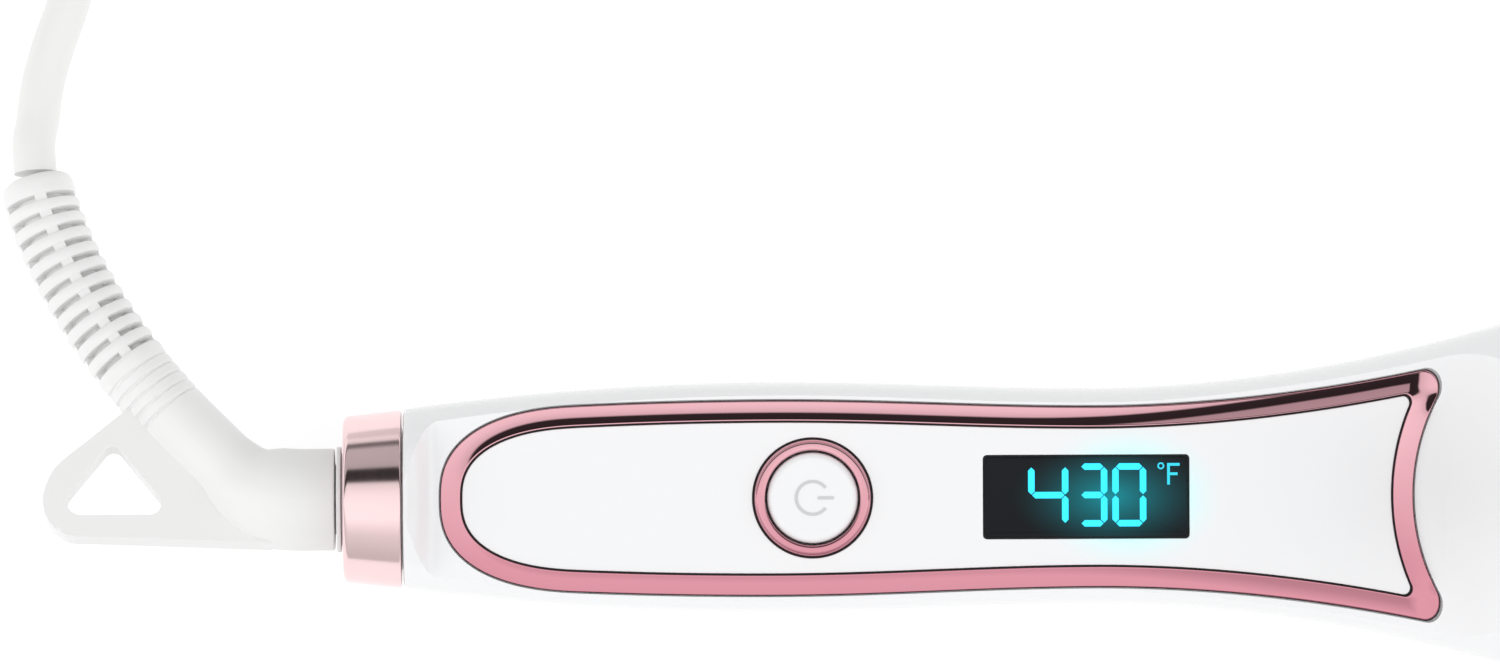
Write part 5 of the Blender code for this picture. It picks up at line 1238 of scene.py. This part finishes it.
def make_clamp(coats):
    hinge = Matrix.Translation((HINGE_AT, 0.0, HINGE_HEIGHT))
    inner = BARREL_RADIUS + GAP
    outer = inner + CLAMP_THICKNESS
    start, whole = HINGE_AT + 12 * MM, 109.0 * MM
    stations = []
    for share in [0.0, 0.01, 0.03, 0.06] + span(0.1, 0.85, 10) + [0.9, 0.94, 0.97, 0.985, 0.995, 1.0]:
        round_end = min(1.0, sqrt(max(0.0, 1.0 - max(0.0, (share - 0.9) / 0.1) ** 2)) * 0.8 + 0.2)
        round_start = min(1.0, 0.75 + 0.25 * smooth_step(share / 0.06))
        stations.append((start + whole * share, radians(60) * round_end * round_start))
    shape = arc_plate(stations, inner, outer)
    spoon = add_piece("clamp_spoon_plate", shape, coats["barrel"], "clamp", ["clamp_spoon"])
    half = 5.7 * MM
    cut(spoon, [prism(strip_outline(), "Y", -half, half)], place=hinge, operation="UNION")
    slope = hinge @ Matrix.Translation((-2 * MM, 0.0, 4.2 * MM)) @ Matrix.Rotation(LEVER_RISE, 4, "Y")
    rivets = [-23.5 * MM, -9.5 * MM]
    cut(spoon, [disc("Z", along, 0.0, 1.5 * MM, -4 * MM, 8 * MM, 32) for along in rivets], place=slope)
    for side in (1, -1):
        edge = half - 0.15 * MM
        low, high = sorted((side * edge, side * (edge - 1.2 * MM)))
        turns = [pi + pi * i / 32 for i in range(33)]
        outline = [(2.8 * MM * cos(t), 2.8 * MM * sin(t)) for t in turns]
        outline += [(2.8 * MM, 3.4 * MM), (-2.8 * MM, 3.9 * MM)]
        cut(spoon, [prism(outline, "Y", low, high)], place=hinge, operation="UNION")
    cut(spoon, [disc("Y", 0.0, 0.0, 1.4 * MM, -12 * MM, 12 * MM, 32)], place=hinge)
    soften(spoon, 0.15 * MM)
    pad_low = STRIP_THICKNESS / 2 + GAP
    outline = rounded_outline(-LEVER_LENGTH - 1.2 * MM, -4.5 * MM, -8.5 * MM, 8.5 * MM, 3.5 * MM, 10)
    pad = prism(outline, "Z", pad_low, pad_low + 3.0 * MM)
    pad = add_piece("thumb_lever_pad", pad, coats["white"], "clamp", ["thumb_lever"],
            place=slope)
    grooves = [disc("Y", along * MM, pad_low + 3.3 * MM, 0.6 * MM, -6.5 * MM, 6.5 * MM, 24)
            for along in (-18, -16.5, -15)]
    cut(pad, grooves + [disc("Z", along, 0.0, 1.5 * MM, 0.0, 8 * MM, 32) for along in rivets], place=slope)
    soften(pad, 0.5 * MM, 4)
    for name, along in zip(("rear", "front"), rivets):
        top = pad_low + 3.0 * MM + GAP
        under = -STRIP_THICKNESS / 2 - GAP
        points = [(under - 0.7 * MM, 0.05 * MM), (under - 0.7 * MM, 2.2 * MM), (under, 2.2 * MM),
                (under, 1.2 * MM)]
        points += [(top, 1.2 * MM), (top, 2.3 * MM), (top + 0.3 * MM, 1.8 * MM), (top + 0.5 * MM, 0.05 * MM)]
        shape = turned(rounded_profile(points, 0.2 * MM), False, 40, (along, 0.0), "Z")
        add_piece("lever_rivet_cap_" + name, shape, coats["steel"], "clamp", ["lever_rivet_" + name],
                place=slope)


def make_stand(coats):
    height = -GRIP_DEPTH + GAP / 2 + STAND_KNUCKLE
    place = Matrix.Translation((STAND_PIN_AT, 0.0, height))
    half = STAND_WIDTH / 2
    low = -GRIP_DEPTH + GAP / 2 - height
    top = low + STAND_THICKNESS
    turns = [-pi / 2 + pi * i / 24 for i in range(25)]
    outline = [(STAND_KNUCKLE * cos(t), STAND_KNUCKLE * sin(t)) for t in turns]
    outline += [(-3 * MM, top), (-STAND_LENGTH + MM, top), (-STAND_LENGTH, top - MM), (-STAND_LENGTH, low)]
    stand = add_piece("safety_stand_leg", prism(outline, "Y", -half, half), coats["black"], "stand",
            ["safety_stand"],
                      place=place)
    cuts = [disc("Y", 0.0, 0.0, 1.1 * MM, -2 * half, 2 * half, 32)]
    cuts += [disc("Y", along * MM, low, 0.5 * MM, -half + 3 * MM, half - 3 * MM, 20)
            for along in (-26, -24, -22)]
    cut(stand, cuts, place=place)
    soften(stand, 0.3 * MM, 3)


def coat_carried_pieces(coats):
    """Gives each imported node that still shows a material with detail, by its slot."""
    by_slot = {"circuit_board": "board", "black_plastic": "black", "grey_plastic": "bush",
            "display_lens": "black"}
    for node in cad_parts.values():
        if node.hide_render:
            continue
        for slot in node.material_slots:
            name = slot.material.name.split(".")[0]
            slot.material = coats[by_slot.get(name, name)]


scene = bpy.context.scene
scene.view_settings.view_transform = "Standard"
make_camera()
make_light()
make_floor()
coats = make_materials()
make_shells(coats)
make_face(coats)
make_button(coats)
make_display(coats)
make_tail(coats)
make_cord(coats, make_strain_relief(coats))
make_front(coats)
make_bracket(coats)
make_clamp(coats)
make_stand(coats)
coat_carried_pieces(coats)
